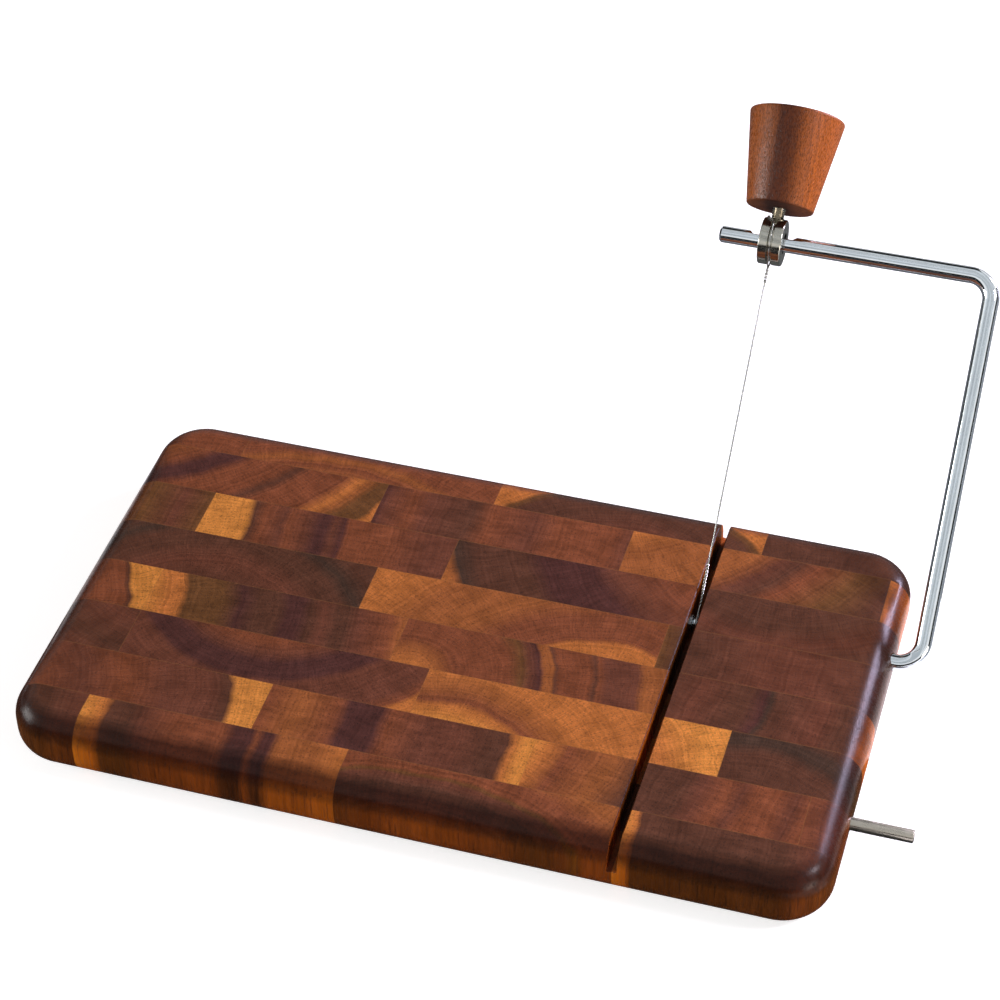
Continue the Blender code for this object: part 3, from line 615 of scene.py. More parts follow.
def metal_material(name, colour, place_kind, stretch, spacing_mm, rough, depth_mm,
                   height=0.0, groove=None):
    """Bare or plated metal whose fine tool marks run one way: place_kind picks the pattern's
    own frame, stretch shortens it along the marks, and rough gives the least and most
    roughness across them. groove gives the radii of a thread's root and crest, between
    which painted shade darkens the metal towards the root."""
    material, tree, shader = new_material(name, colour, sum(rough) / 2, 1.0)
    if place_kind == "bow":
        place = bow_place_mm(tree, height)
    else:
        place = add(tree, "ShaderNodeMapping", {
            "Vector": add(tree, "ShaderNodeTexCoord").outputs["Object"],
            "Scale": (1 / MM,) * 3})
    if stretch == "turned":
        # Lathe marks are circles about X: they change along X and with the distance from it
        axes = add(tree, "ShaderNodeSeparateXYZ", {0: place})
        ring = add(tree, "ShaderNodeVectorMath", {0: place, 1: (0, 1, 1)}, operation="MULTIPLY")
        reach = add(tree, "ShaderNodeVectorMath", {0: ring}, operation="LENGTH")
        swept = add(tree, "ShaderNodeCombineXYZ", {
            "X": axes.outputs["X"], "Y": reach.outputs["Value"]})
    else:
        swept = add(tree, "ShaderNodeVectorMath", {0: place, 1: stretch}, operation="MULTIPLY")
    marks = add(tree, "ShaderNodeTexNoise", {
        "Vector": swept, "Scale": 1 / spacing_mm, "Detail": 3.0,
        "Roughness": 0.6}).outputs["Fac"]
    smear = add(tree, "ShaderNodeTexNoise", {
        "Vector": place, "Scale": 1 / SMEAR_SPACING_MM, "Detail": 2.0}).outputs["Fac"]
    both = add(tree, "ShaderNodeMath", {0: marks, 1: smear}, operation="MULTIPLY")
    roughness = add(tree, "ShaderNodeMapRange", {
        "Value": both, "From Min": 0.12, "From Max": 0.42,
        "To Min": rough[0], "To Max": rough[1]})
    tint = add(tree, "ShaderNodeMapRange", {
        "Value": marks, "From Min": 0.3, "From Max": 0.7,
        "To Min": 0.9, "To Max": 1.0})
    # Painted shade: darker from a thread's crest down into its root
    if groove:
        level = add(tree, "ShaderNodeVectorMath", {0: place, 1: (1, 1, 0)}, operation="MULTIPLY")
        reach = add(tree, "ShaderNodeVectorMath", {0: level}, operation="LENGTH")
        root_shade = add(tree, "ShaderNodeMapRange", {
            "Value": reach.outputs["Value"], "From Min": groove[0], "From Max": groove[1],
            "To Min": 0.25, "To Max": 1.0})
        tint = add(tree, "ShaderNodeMath", {0: tint, 1: root_shade}, operation="MULTIPLY")
    shaded = add(tree, "ShaderNodeVectorMath", {0: tuple(colour), "Scale": tint},
                 operation="SCALE")
    bump = add(tree, "ShaderNodeBump", {
        "Strength": 0.4, "Distance": depth_mm * MM, "Height": marks})
    feed(tree, shader, {"Base Color": shaded, "Roughness": roughness, "Normal": bump})
    return material


def loft(rings):
    """Close a stack of point rings, all of one length, into a solid."""
    bm = bmesh.new()
    loops = [[bm.verts.new(point) for point in ring] for ring in rings]
    count = len(loops[0])
    for lower, upper in zip(loops, loops[1:]):
        for i in range(count):
            j = (i + 1) % count
            bm.faces.new((lower[i], lower[j], upper[j], upper[i]))
    bm.faces.new(reversed(loops[0]))
    bm.faces.new(loops[-1])
    bmesh.ops.recalc_face_normals(bm, faces=bm.faces)
    return bm


def turned(profile, sides=96):
    """Turn a list of (radius, height) points about Z into a solid."""
    rings = []
    for radius, height in profile:
        angles = (2 * math.pi * i / sides for i in range(sides))
        rings.append([Vector((radius * math.cos(a), radius * math.sin(a), height)) for a in angles])
    return loft(rings)


def lay_along_x(bm, place):
    """Lay a solid that was turned about Z along X, its start at a place."""
    turn = Euler((0, math.pi / 2, 0)).to_matrix().to_4x4()
    bm.transform(Matrix.Translation(place) @ turn)
    return bm


def arc(centre, radius, start, end, steps=6):
    """Points of an arc in a profile, from one angle in degrees to another."""
    angles = (math.radians(start + (end - start) * i / steps) for i in range(steps + 1))
    return [(centre[0] + radius * math.cos(a), centre[1] + radius * math.sin(a)) for a in angles]


def link_object(name, data):
    """A new object that holds some data, linked into the scene at the origin."""
    linked = bpy.data.objects.new(name, data)
    bpy.context.scene.collection.objects.link(linked)
    return linked


def piece_from(bm, name, material=None):
    """Make a bmesh an object in its material."""
    mesh = bpy.data.meshes.new(name)
    bm.to_mesh(mesh)
    bm.free()
    if material:
        mesh.materials.append(material)
    return link_object(name, mesh)


def settle(piece, sharp_degrees=32):
    """Turn a piece and its modifiers into one plain smooth mesh."""
    graph = bpy.context.evaluated_depsgraph_get()
    mesh = bpy.data.meshes.new_from_object(piece.evaluated_get(graph))
    piece.modifiers.clear()
    piece.data = mesh
    mesh.name = piece.name
    mesh.shade_smooth()
    mesh.set_sharp_from_angle(angle=math.radians(sharp_degrees))
    if not mesh.polygons:
        raise RuntimeError(f"{piece.name} came out empty")


def cut(piece, *tools):
    """Take tools out of a piece, then remove them."""
    for tool in tools:
        modifier = piece.modifiers.new(tool.name, "BOOLEAN")
        modifier.operation = "DIFFERENCE"
        modifier.solver = "EXACT"
        modifier.object = tool
    settle(piece)
    for tool in tools:
        bpy.data.objects.remove(tool, do_unlink=True)


def hand_over(piece, body, slot, *nodes):
    """A finished piece rides on its body, in place of its CAD nodes."""
    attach(piece, body)
    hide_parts(*nodes)


def use_tree(piece, tree, **values):
    """Give a piece a Geometry Nodes tree, its inputs set by their sockets' identifiers."""
    modifier = piece.modifiers.new(tree.name, "NODES")
    modifier.node_group = tree
    sockets = {
        item.name.lower().replace(" ", "_"): item.identifier
        for item in tree.interface.items_tree
        if item.item_type == "SOCKET" and item.in_out == "INPUT"
    }
    for name, value in values.items():
        modifier[sockets[name]] = value


def new_tree(name, inputs):
    """A Geometry Nodes tree with a geometry in and out and named inputs for its sizes."""
    tree = bpy.data.node_groups.new(name, "GeometryNodeTree")
    tree.interface.new_socket("Geometry", in_out="INPUT", socket_type="NodeSocketGeometry")
    for label, kind in inputs:
        tree.interface.new_socket(label, in_out="INPUT", socket_type=kind)
    tree.interface.new_socket("Geometry", in_out="OUTPUT", socket_type="NodeSocketGeometry")
    return tree, add(tree, "NodeGroupInput").outputs


def end_tree(tree, geometry, material):
    """Close a tree: real geometry, smooth, in its material."""
    smooth = add(tree, "GeometryNodeSetShadeSmooth", {"Geometry": geometry})
    real = add(tree, "GeometryNodeRealizeInstances", {"Geometry": smooth})
    dressed = add(tree, "GeometryNodeSetMaterial", {"Geometry": real, "Material": material})
    add(tree, "NodeGroupOutput", {0: dressed})
    return tree


def line_object(name, points, **attributes):
    """A mesh of points joined in a row, with one value of each attribute for each point."""
    mesh = bpy.data.meshes.new(name)
    mesh.from_pydata(points, [(i, i + 1) for i in range(len(points) - 1)], [])
    for label, values in attributes.items():
        mesh.attributes.new(label, "FLOAT", "POINT").data.foreach_set("value", values)
    return link_object(name, mesh)


def rod_tree(material):
    """A round rod along a row of points, bent at its corners and as thick as its points say."""
    tree, given = new_tree("bent_rod", (
        ("Bend steps", "NodeSocketInt"), ("Sides", "NodeSocketInt")))
    line = add(tree, "GeometryNodeMeshToCurve", {"Mesh": given["Geometry"]})
    bend = add(tree, "GeometryNodeInputNamedAttribute", {"Name": "bend"}, data_type="FLOAT")
    thick = add(tree, "GeometryNodeInputNamedAttribute", {"Name": "thickness"}, data_type="FLOAT")
    bent = add(tree, "GeometryNodeFilletCurve", {
        "Curve": line, "Count": given["Bend steps"], "Radius": bend}, mode="POLY")
    ring = add(tree, "GeometryNodeCurvePrimitiveCircle", {
        "Resolution": given["Sides"], "Radius": 1.0})
    rod = add(tree, "GeometryNodeCurveToMesh", {
        "Curve": bent, "Profile Curve": ring, "Scale": thick,
        "Fill Caps": True})
    return end_tree(tree, rod, material)


def wire_tree(material):
    """A round wire along a row of points."""
    tree, given = new_tree("drawn_wire", (
        ("Wire radius", "NodeSocketFloat"), ("Sides", "NodeSocketInt")))
    line = add(tree, "GeometryNodeMeshToCurve", {"Mesh": given["Geometry"]})
    ring = add(tree, "GeometryNodeCurvePrimitiveCircle", {
        "Resolution": given["Sides"], "Radius": given["Wire radius"]})
    wire = add(tree, "GeometryNodeCurveToMesh", {
        "Curve": line, "Profile Curve": ring, "Fill Caps": True})
    return end_tree(tree, wire, material)


def thread_tree(material):
    """A stud: a core with a thread ridge wound round it, its foot at the origin."""
    tree, given = new_tree("threaded_stud", (
        ("Pitch", "NodeSocketFloat"), ("Turns", "NodeSocketFloat"),
        ("Root radius", "NodeSocketFloat"), ("Ridge", "NodeSocketFloat"),
        ("Length", "NodeSocketFloat")))
    rise = add(tree, "ShaderNodeMath", {0: given["Pitch"], 1: given["Turns"]},
               operation="MULTIPLY")
    wind = add(tree, "GeometryNodeCurveSpiral", {
        "Resolution": 40, "Rotations": given["Turns"], "Start Radius": given["Root radius"],
        "End Radius": given["Root radius"], "Height": rise})
    stood = add(tree, "GeometryNodeSetCurveNormal", {"Curve": wind}, mode="Z_UP")
    ridge = add(tree, "GeometryNodeCurvePrimitiveCircle", {
        "Resolution": 4, "Radius": given["Ridge"]})
    thread = add(tree, "GeometryNodeCurveToMesh", {
        "Curve": stood, "Profile Curve": ridge, "Fill Caps": True})
    lift = add(tree, "ShaderNodeCombineXYZ", {"Z": given["Ridge"]})
    lifted = add(tree, "GeometryNodeTransform", {"Geometry": thread, "Translation": lift})
    core = add(tree, "GeometryNodeMeshCylinder", {
        "Vertices": 48, "Radius": given["Root radius"], "Depth": given["Length"]})
    half = add(tree, "ShaderNodeMath", {0: given["Length"], 1: 0.5}, operation="MULTIPLY")
    middle = add(tree, "ShaderNodeCombineXYZ", {"Z": half})
    raised = add(tree, "GeometryNodeTransform", {"Geometry": core, "Translation": middle})
    joined = add(tree, "GeometryNodeJoinGeometry")
    for part in (lifted, raised):
        feed(tree, joined, {0: part})
    return end_tree(tree, joined, material)


def board_blank(sizes):
    """The whole rounded board, before it is read as blocks."""
    corner_steps, edge_steps = 20, 14
    steps = [math.pi / 2 * i / edge_steps for i in range(edge_steps + 1)]
    ease = sizes.edge_round
    lower = [(ease * (1 - math.sin(a)), ease * (1 - math.cos(a))) for a in steps]
    upper = [(inset, sizes.board_thickness - height) for inset, height in reversed(lower)]
    half_x = sizes.board_length / 2 - sizes.corner_radius
    half_y = sizes.board_depth / 2 - sizes.corner_radius
    rings = []
    for inset, height in lower + upper:
        radius = sizes.corner_radius - inset
        ring = []
        for quarter, (side_x, side_y) in enumerate(((1, 1), (-1, 1), (-1, -1), (1, -1))):
            for step in range(corner_steps + 1):
                a = math.pi / 2 * (quarter + step / corner_steps)
                x = side_x * half_x + radius * math.cos(a)
                y = side_y * half_y + radius * math.sin(a)
                ring.append(Vector((x, y, height)))
        rings.append(ring)
    return loft(rings)


def slice_off(bm, place, normal):
    """Cut a solid at a plane, drop what lies beyond it, and close the cut."""
    geometry = bm.verts[:] + bm.edges[:] + bm.faces[:]
    result = bmesh.ops.bisect_plane(
        bm, geom=geometry, plane_co=place, plane_no=normal, clear_outer=True)
    rim = [item for item in result["geom_cut"] if isinstance(item, bmesh.types.BMEdge)]
    bmesh.ops.edgeloop_fill(bm, edges=rim)


def slot_tool(sizes):
    """The saw cut across the board, with its top edges eased."""
    half, ease = sizes.slot_width / 2, sizes.slot_ease
    floor, top = sizes.board_thickness - sizes.slot_depth, sizes.board_thickness
    wide, above = half + ease + PAST, top + PAST
    section = ((-half, floor), (half, floor), (half, top - ease), (wide, above),
               (-wide, above), (-half, top - ease))
    reach = sizes.board_depth / 2 + PAST
    return piece_from(loft([
        [Vector((PIVOT.x + x, y, z)) for x, z in section] for y in (-reach, reach)]), "slot_tool")


def bore_tool(name, diameter, start, end, y, z):
    """A drill along X."""
    profile = [(diameter / 2, 0), (diameter / 2, end - start)]
    return piece_from(lay_along_x(turned(profile, 64), Vector((start, y, z))), name)


def block_solid(sizes, spans):
    """The part of the blank between a block's ends, along X, and its sides, along Y."""
    bm = board_blank(sizes)
    limits = (sizes.board_length / 2, sizes.board_depth / 2)
    for axis, (span, limit) in enumerate(zip(spans, limits)):
        for side, place in zip((-1, 1), span):
            if abs(place) < limit:
                normal, point = Vector((0, 0, 0)), Vector((0, 0, 0))
                normal[axis], point[axis] = side, place
                slice_off(bm, point, normal)
    return bm


def make_blocks(sizes, colours):
    """Cut the blank into its glued blocks, each in its own wood."""
    group = end_grain_group()
    slots = {m["slot"] for m in frame["record"]["materials"]}
    width = (sizes.board_depth + 2 * sizes.edge_trim) / len(STRIPS)
    front = -sizes.board_depth / 2 - sizes.edge_trim
    right = sizes.board_length / 2 + PAST
    bore = sizes.rod_diameter + 2 * sizes.clearance
    bore_start = PIVOT.x - sizes.slot_width / 2 - sizes.pivot_grip - sizes.clearance
    seat = sizes.pin_diameter + 2 * sizes.clearance
    seat_start = PIN_LOW.x - sizes.clearance
    # Each hole: its name, diameter, blind end, and how far back and how high it runs
    holes = (
        ("bore_tool", bore, bore_start, PIVOT.y, PIVOT.z),
        ("seat_tool", seat, seat_start, PIN_MIDDLE.y, PIN_MIDDLE.z),
    )
    for row, (shares, *blocks) in enumerate(STRIPS):
        joints = [PIVOT.x if s == SLOT else (s - 0.5) * sizes.board_length for s in shares]
        edges = [-right, *joints, right]
        span_y = (front + row * width, front + (row + 1) * width)
        for column, (x, y, zones) in enumerate(blocks):
            name = f"row{row + 1}_block{column + 1}"
            span_x = (edges[column], edges[column + 1])
            material = block_material(
                f"end_grain_{name}", group, colours, (x, y), zones, span_x, span_y)
            piece = piece_from(block_solid(sizes, (span_x, span_y)), f"wood_{name}", material)
            tools = []
            if span_x[0] < PIVOT.x + sizes.slot_width and PIVOT.x - sizes.slot_width < span_x[1]:
                tools.append(slot_tool(sizes))
            for tool, drill, start, at_y, at_z in holes:
                if span_y[0] < at_y + drill and at_y - drill < span_y[1] and span_x[1] > start:
                    tools.append(bore_tool(tool, drill, start, right, at_y, at_z))
            cut(piece, *tools)
            cad = frame["nodes"][f"board_{name}"]
            used = [s.material.name.split(".")[0] for s in cad.material_slots if s.material]
            slot = next((s for s in used if s in slots), "wood_russet")
            hand_over(piece, "board", slot, f"board_{name}")


def collar_middle(sizes):
    """How far the collar's middle stands from the pivot."""
    return sizes.bow_reach + sizes.collar_rise


def knob_start(sizes):
    """How far the knob's small end stands from the pivot."""
    return collar_middle(sizes) + sizes.collar_diameter / 2 + sizes.knob_gap


def make_bow(sizes, colours):
    """Bend the rod, mill the flat that the stud bears on, and stand it on the pivot."""
    # Bright nickel-chrome plate on ground steel rod: mirror bright, with faint grinding
    # lines along it that only show where a reflection's edge wavers
    material = metal_material(
        "bright_plated_rod", colours.polished, "bow", (0.03, 1, 0.03), 0.5, (0.04, 0.12), 0.03)
    radius = sizes.rod_diameter / 2
    end = -sizes.slot_width / 2 - sizes.pivot_grip
    seat, slope = sizes.seat_width / 2, sizes.seat_depth / 2
    neck = radius - sizes.seat_depth
    leg = sizes.board_length / 2 + sizes.leg_gap + radius - PIVOT.x
    bevel, bend, reach = sizes.rod_chamfer, sizes.bend_radius, sizes.bow_reach
    tip = -sizes.arm_tail
    # Each point: how far to the right and how high it lies, the rod's radius, and its bend
    line = (
        (end, 0, radius - bevel, 0), (end + bevel, 0, radius, 0),
        (-seat - slope, 0, radius, 0), (-seat, 0, neck, 0),
        (seat, 0, neck, 0), (seat + slope, 0, radius, 0),
        (leg, 0, radius, bend), (leg, reach, radius, bend),
        (tip + bevel, reach, radius, 0), (tip, reach, radius - bevel, 0),
    )
    piece = line_object(
        "bow_rod", [(x, 0, z) for x, z, _, _ in line],
        thickness=[r for _, _, r, _ in line], bend=[b for _, _, _, b in line])
    use_tree(piece, rod_tree(material), bend_steps=28, sides=72)
    settle(piece)
    half = sizes.flat_length / 2
    height = sizes.flat_depth + PAST
    floor = reach + radius - sizes.flat_depth
    rings = []
    for z, spread in ((floor, 0), (floor + height, height)):
        out = half - sizes.flat_depth + spread
        corners = ((-out, -1), (out, -1), (out, 1), (-out, 1))
        rings.append([Vector((x, side * sizes.rod_diameter, z)) for x, side in corners])
    cut(piece, piece_from(loft(rings), "flat_tool"))
    piece.data.transform(BOW_FRAME)
    hand_over(piece, "bow", "slicer_bow", "slicer_bow")


def make_collar(sizes, colours):
    """Turn the grooved collar, bore it for the arm and tap it for the stud."""
    # Nickel-plated steel off a lathe: satin, with fine circles that catch the light
    place = Vector((0, 0, collar_middle(sizes)))
    material = metal_material(
        "turned_nickel_collar", colours.turned, "bow", "turned", 0.3, (0.12, 0.26), 0.03, place.z)
    radius, half = sizes.collar_diameter / 2, sizes.collar_width / 2
    mouth, floor = sizes.groove_mouth / 2, sizes.groove_floor / 2
    valley, ease, lip = radius - sizes.groove_depth, 0.0005, 0.0001
    profile = [
        *arc((radius - ease, -half + ease), ease, -90, 0),
        (radius, -mouth - lip), (radius - lip, -mouth),
        (valley, -floor), (valley, floor),
        (radius - lip, mouth), (radius, mouth + lip),
        *arc((radius - ease, half - ease), ease, 0, 90),
    ]
    piece = piece_from(lay_along_x(turned(profile, 128), place), "collar", material)
    end = half + PAST
    arm = piece_from(lay_along_x(turned(
        [(sizes.collar_bore / 2, -end), (sizes.collar_bore / 2, end)]), place), "arm_tool")
    hole = sizes.stud_diameter / 2 + sizes.clearance
    tap = turned([(hole, place.z), (hole, place.z + radius + PAST)], 64)
    cut(piece, arm, piece_from(tap, "stud_tool"))
    piece.data.transform(BOW_FRAME)
    hand_over(piece, "collar", "tension_collar", "tension_collar")


def make_stud(sizes, colours):
    """Wind the stud's thread, from the flat on the arm up into the knob."""
    # Zinc-plated machine screw: yellowish bright crests, and roots darkened with painted shade
    material = metal_material(
        "zinc_plated_stud", colours.threaded, "bow", (1, 1, 1), 0.5, (0.16, 0.34), 0.01,
        groove=(2.0, 2.32))
    knob = knob_start(sizes)
    foot = sizes.bow_reach + sizes.rod_diameter / 2 - sizes.flat_depth + sizes.clearance
    length = knob - foot + sizes.stud_in_knob
    root = sizes.stud_diameter / 2 - sizes.thread_depth
    piece = line_object("stud", [(0, 0, 0), (0, 0, length)])
    turns = (knob - foot + sizes.knob_gap) / sizes.stud_pitch
    # The crest stays just inside the stud's full diameter
    crest_share = 0.98
    use_tree(piece, thread_tree(material), pitch=sizes.stud_pitch, turns=turns,
             root_radius=root, ridge=sizes.thread_depth * crest_share, length=length)
    settle(piece, 50)
    piece.data.transform(BOW_FRAME @ Matrix.Translation((0, 0, foot)))
    hand_over(piece, "knob", "tension_stud", "tension_stud")


def make_knob(sizes, colours):
    """Turn the tapered knob, wide end outwards, and bore it for the stud."""
    start = knob_start(sizes)
    ease, small, large = sizes.knob_ease, sizes.knob_small / 2, sizes.knob_large / 2
    top = sizes.knob_height
    slant = math.degrees(math.atan2(large - small, top))
    # Each flat end begins a little inside its rounded rim
    profile = [
        (small - 2.4 * ease, start), *arc((small - ease, start + ease), ease, -90, -slant),
        *arc((large - ease, start + top - ease), ease, -slant, 90),
        (large - 3 * ease, start + top),
    ]
    piece = piece_from(turned(profile, 128), "knob", knob_material(colours, start))
    hole = sizes.stud_diameter / 2 + sizes.clearance
    bore = turned([(hole, start - PAST), (hole, start + sizes.stud_in_knob + STUD_GAP)], 64)
    cut(piece, piece_from(bore, "knob_tool"))
    piece.data.transform(BOW_FRAME)
    hand_over(piece, "knob", "tension_knob", "tension_knob")


def helix(start_z, end_z, start_angle, turns, offset):
    """Points of one strand that winds about the wire's own line."""
    count = max(2, round(abs(turns) * STEPS_PER_TWIST))
    points = []
    for i in range(count + 1):
        a = start_angle + 2 * math.pi * turns * i / count
        z = start_z + (end_z - start_z) * i / count
        points.append(Vector((offset * math.cos(a), offset * math.sin(a), z)))
    return points


def loop_arc(centre_z, radius, strand_z, offset, upward):
    """Angles of a loop round a seat, from one strand's tangent point to the other's."""
    distance = math.hypot(offset, strand_z - centre_z)
    lead = math.atan2(offset, abs(strand_z - centre_z)) + math.acos(radius / distance)
    first = -math.pi / 2 + lead if upward else math.pi / 2 - lead
    last = -math.pi / 2 - lead + 2 * math.pi if upward else math.pi / 2 + lead - 2 * math.pi
    return [first + (last - first) * i / STEPS_PER_LOOP for i in range(STEPS_PER_LOOP + 1)]


def ease_between(value, low, high):
    """A smooth step from 0 at low to 1 at high."""
    share = min(1.0, max(0.0, (value - low) / (high - low)))
    return share * share * (3 - 2 * share)


def make_wire(sizes, colours):
    """Lay the wire: round the pivot, up to the collar, round it, its ends twisted on."""
    # Drawn stainless wire: bright along its length, too thin to show its die marks
    material = metal_material(
        "drawn_stainless_wire", colours.wire, "bow", (1, 1, 0.02), 0.3, (0.12, 0.24), 0.002)
    thick = sizes.wire_diameter / 2
    offset = thick * STRAND_SPREAD
    collar_z = collar_middle(sizes)
    collar_radius = sizes.collar_diameter / 2
    low_start = sizes.rod_diameter / 2 + TWIST_LEAD
    low_end = low_start + sizes.lower_twist
    high_end = collar_z - collar_radius - TWIST_LEAD / 2
    high_start = high_end - sizes.upper_twist
    low_turns = sizes.lower_twist / sizes.twist_pitch
    high_turns = sizes.upper_twist / sizes.twist_pitch
    rod_seat = sizes.rod_diameter / 2 - sizes.seat_depth + WIRE_GAP + thick
    seat = collar_radius - sizes.groove_depth + WIRE_GAP + thick
    outside = collar_radius + WIRE_GAP + thick
    aside = sizes.stud_diameter / 2 + STUD_GAP + thick
    stud_angle = math.asin(aside / outside)
    quarter = math.pi / 2

    route = list(reversed(helix(low_start, low_end, quarter, low_turns, offset)))
    route += [Vector((0, rod_seat * math.cos(a), rod_seat * math.sin(a)))
              for a in loop_arc(0, rod_seat, low_start, offset, False)]
    route += helix(low_start, low_end, -quarter, low_turns, offset)
    for share in (0.25, 0.5, 0.75):
        a = -quarter + 2 * math.pi * (low_turns + TAIL_TURN * share)
        reach = offset * (1 - share)
        rise = low_end + TAIL_RISE * share
        route.append(Vector((reach * math.cos(a), reach * math.sin(a), rise)))
    route += [Vector((0, 0, low_end + STRAIGHT_LOW)), Vector((0, 0, high_start - STRAIGHT_HIGH))]
    route += reversed(helix(high_end, high_start, quarter, high_turns, offset))
    # The upper loop climbs out of its groove and steps aside to pass the stud, at so many
    # times the angle that the stud takes up
    for a in loop_arc(collar_z, seat, high_end, offset, True):
        from_top = abs(a - quarter)
        lift = 1 - ease_between(from_top, 2.6 * stud_angle, 3.6 * stud_angle)
        shift = 1 - ease_between(from_top, 1.2 * stud_angle, 2.5 * stud_angle)
        radius = seat + (outside - seat) * lift
        route.append(Vector((
            -aside * shift, radius * math.cos(a), collar_z + radius * math.sin(a))))
    route += helix(high_end, high_start, -quarter, high_turns, offset)

    piece = line_object("cutting_wire_twisted", route)
    use_tree(piece, wire_tree(material), wire_radius=thick, sides=14)
    settle(piece, 60)
    piece.data.transform(BOW_FRAME)
    hand_over(piece, "bow", "cutting_wire", "cutting_wire")
    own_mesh(piece)


def make_pin(sizes, colours):
    """Turn the stop pin and set it in the board's right edge."""
    # Plain stainless dowel, centreless ground: satin, marks running round it
    material = metal_material(
        "satin_steel_pin", colours.satin, "board", (0.1, 1, 1), 0.4, (0.24, 0.34), 0.002)
    radius, bevel = sizes.pin_diameter / 2, sizes.pin_chamfer
    length = PIN_HIGH.x - PIN_LOW.x
    # A plain bevel inside the board, and a crowned one on the end that shows
    profile = [
        (radius - bevel, 0), (radius, bevel), (radius, length - bevel),
        (radius - 0.3 * bevel, length - 0.3 * bevel), (radius - bevel, length),
    ]
    place = Vector((PIN_LOW.x, PIN_MIDDLE.y, PIN_MIDDLE.z))
    piece = piece_from(lay_along_x(turned(profile, 64), place), "pin", material)
    settle(piece)
    hand_over(piece, "board", "stop_pin", "stop_pin")


def seen_by_eye(tree):
    """1 for a camera, glossy or transmission ray, else 0."""
    rays = add(tree, "ShaderNodeLightPath").outputs
    first = add(tree, "ShaderNodeMath", {
        0: rays["Is Camera Ray"], 1: rays["Is Glossy Ray"]}, operation="MAXIMUM")
    return add(tree, "ShaderNodeMath", {
        0: first, 1: rays["Is Transmission Ray"]}, operation="MAXIMUM")


def rectangle(low, high, height=0.0):
    """The corners of a level rectangle."""
    return [(low[0], low[1], height), (high[0], low[1], height),
            (high[0], high[1], height), (low[0], high[1], height)]


def make_floor(colours):
    """A wide matt white floor that reads as pure white and still takes a shadow."""
    mesh = bpy.data.meshes.new("floor")
    corners = rectangle((-FLOOR_REACH,) * 2, (FLOOR_REACH,) * 2)
    mesh.from_pydata(corners, [], [(0, 1, 2, 3)])
    floor = link_object("floor", mesh)
    material, tree, shader = new_material("matt_white_floor", colours.floor, 1.0)
    feed(tree, shader, {"Specular IOR Level": 0.0})
    lift = add(tree, "ShaderNodeMath", {0: seen_by_eye(tree), 1: FLOOR_GLOW},
               operation="MULTIPLY")
    glow = add(tree, "ShaderNodeEmission", {"Strength": lift})
    both = add(tree, "ShaderNodeAddShader", {0: shader, 1: glow})
    feed(tree, tree.nodes["Material Output"], {"Surface": both})
    mesh.materials.append(material)


def make_reflector(name, points, faces, place, colour, strength):
    """A stage surface of one even brightness that only reflections see."""
    mesh = bpy.data.meshes.new(name)
    mesh.from_pydata(points, [], faces)
    mesh.transform(place)
    material = bpy.data.materials.new(name)
    material.use_nodes = True
    tree = material.node_tree
    glow = add(tree, "ShaderNodeEmission", {
        "Color": (*linear(colour), 1.0), "Strength": strength})
    feed(tree, tree.nodes["Material Output"], {"Surface": glow})
    mesh.materials.append(material)
    surface = link_object(name, mesh)
    surface.visible_camera = False
    surface.visible_diffuse = False
    surface.visible_shadow = False


def make_card(name, direction, distance, width, height, strength):
    """A card beside the set, as a photographer hangs one to shape a reflection."""
    away = Vector(direction).normalized()
    x, y = width / 2, height / 2
    turn = (-away).to_track_quat("-Z", "Y").to_matrix().to_4x4()
    place = Matrix.Translation(away * distance) @ turn
    corners = rectangle((-x, -y), (x, y))
    make_reflector(name, corners, [(0, 1, 2, 3)], place, CARD_COLOUR, strength)


def make_sheet(name, low, high, height, strength, turn=0.0):
    """A level sheet: a strip of the slatted ceiling, or a mat on the table."""
    place = Matrix.Rotation(turn, 4, "Z")
    corners = rectangle(low, high, height)
    make_reflector(name, corners, [(0, 1, 2, 3)], place, SHEET_COLOUR, strength)


def make_room_wall():
    """The dim room round the white table, low along the horizon: it draws the dark lines
    along polished rod."""
    angles = [2 * math.pi * i / ROOM_SIDES for i in range(ROOM_SIDES)]
    points = [(ROOM_RADIUS * math.cos(a), ROOM_RADIUS * math.sin(a), z)
              for z in (ROOM_LOW, ROOM_HIGH) for a in angles]
    faces = []
    for i in range(ROOM_SIDES):
        j = (i + 1) % ROOM_SIDES
        faces.append((i, j, ROOM_SIDES + j, ROOM_SIDES + i))
    make_reflector("room_wall", points, faces, Matrix(), CARD_COLOUR, ROOM_BRIGHTNESS)


def make_lamp(name, direction, width, height, watts, colour):
    """A softbox that looks at the board from a direction."""
    lamp = bpy.data.lights.new(name, "AREA")
    lamp.shape = "RECTANGLE"
    lamp.size, lamp.size_y = width, height
    lamp.energy = watts
    lamp.color = linear(colour)
    away = Vector(direction).normalized()
    placed = link_object(name, lamp)
    placed.location = Vector(LAMP_TARGET) + away * LAMP_DISTANCE
    placed.rotation_euler = (-away).to_track_quat("-Z", "Y").to_euler()


def make_world():
    """White to the eye and to polished metal, a plain soft fill to everything else."""
    world = bpy.data.worlds.new("studio")
    world.use_nodes = True
    tree = world.node_tree
    fill = add(tree, "ShaderNodeMapRange", {"Value": seen_by_eye(tree), "To Min": WORLD_FILL})
    feed(tree, tree.nodes["Background"], {"Color": (1, 1, 1, 1), "Strength": fill})
    bpy.context.scene.world = world


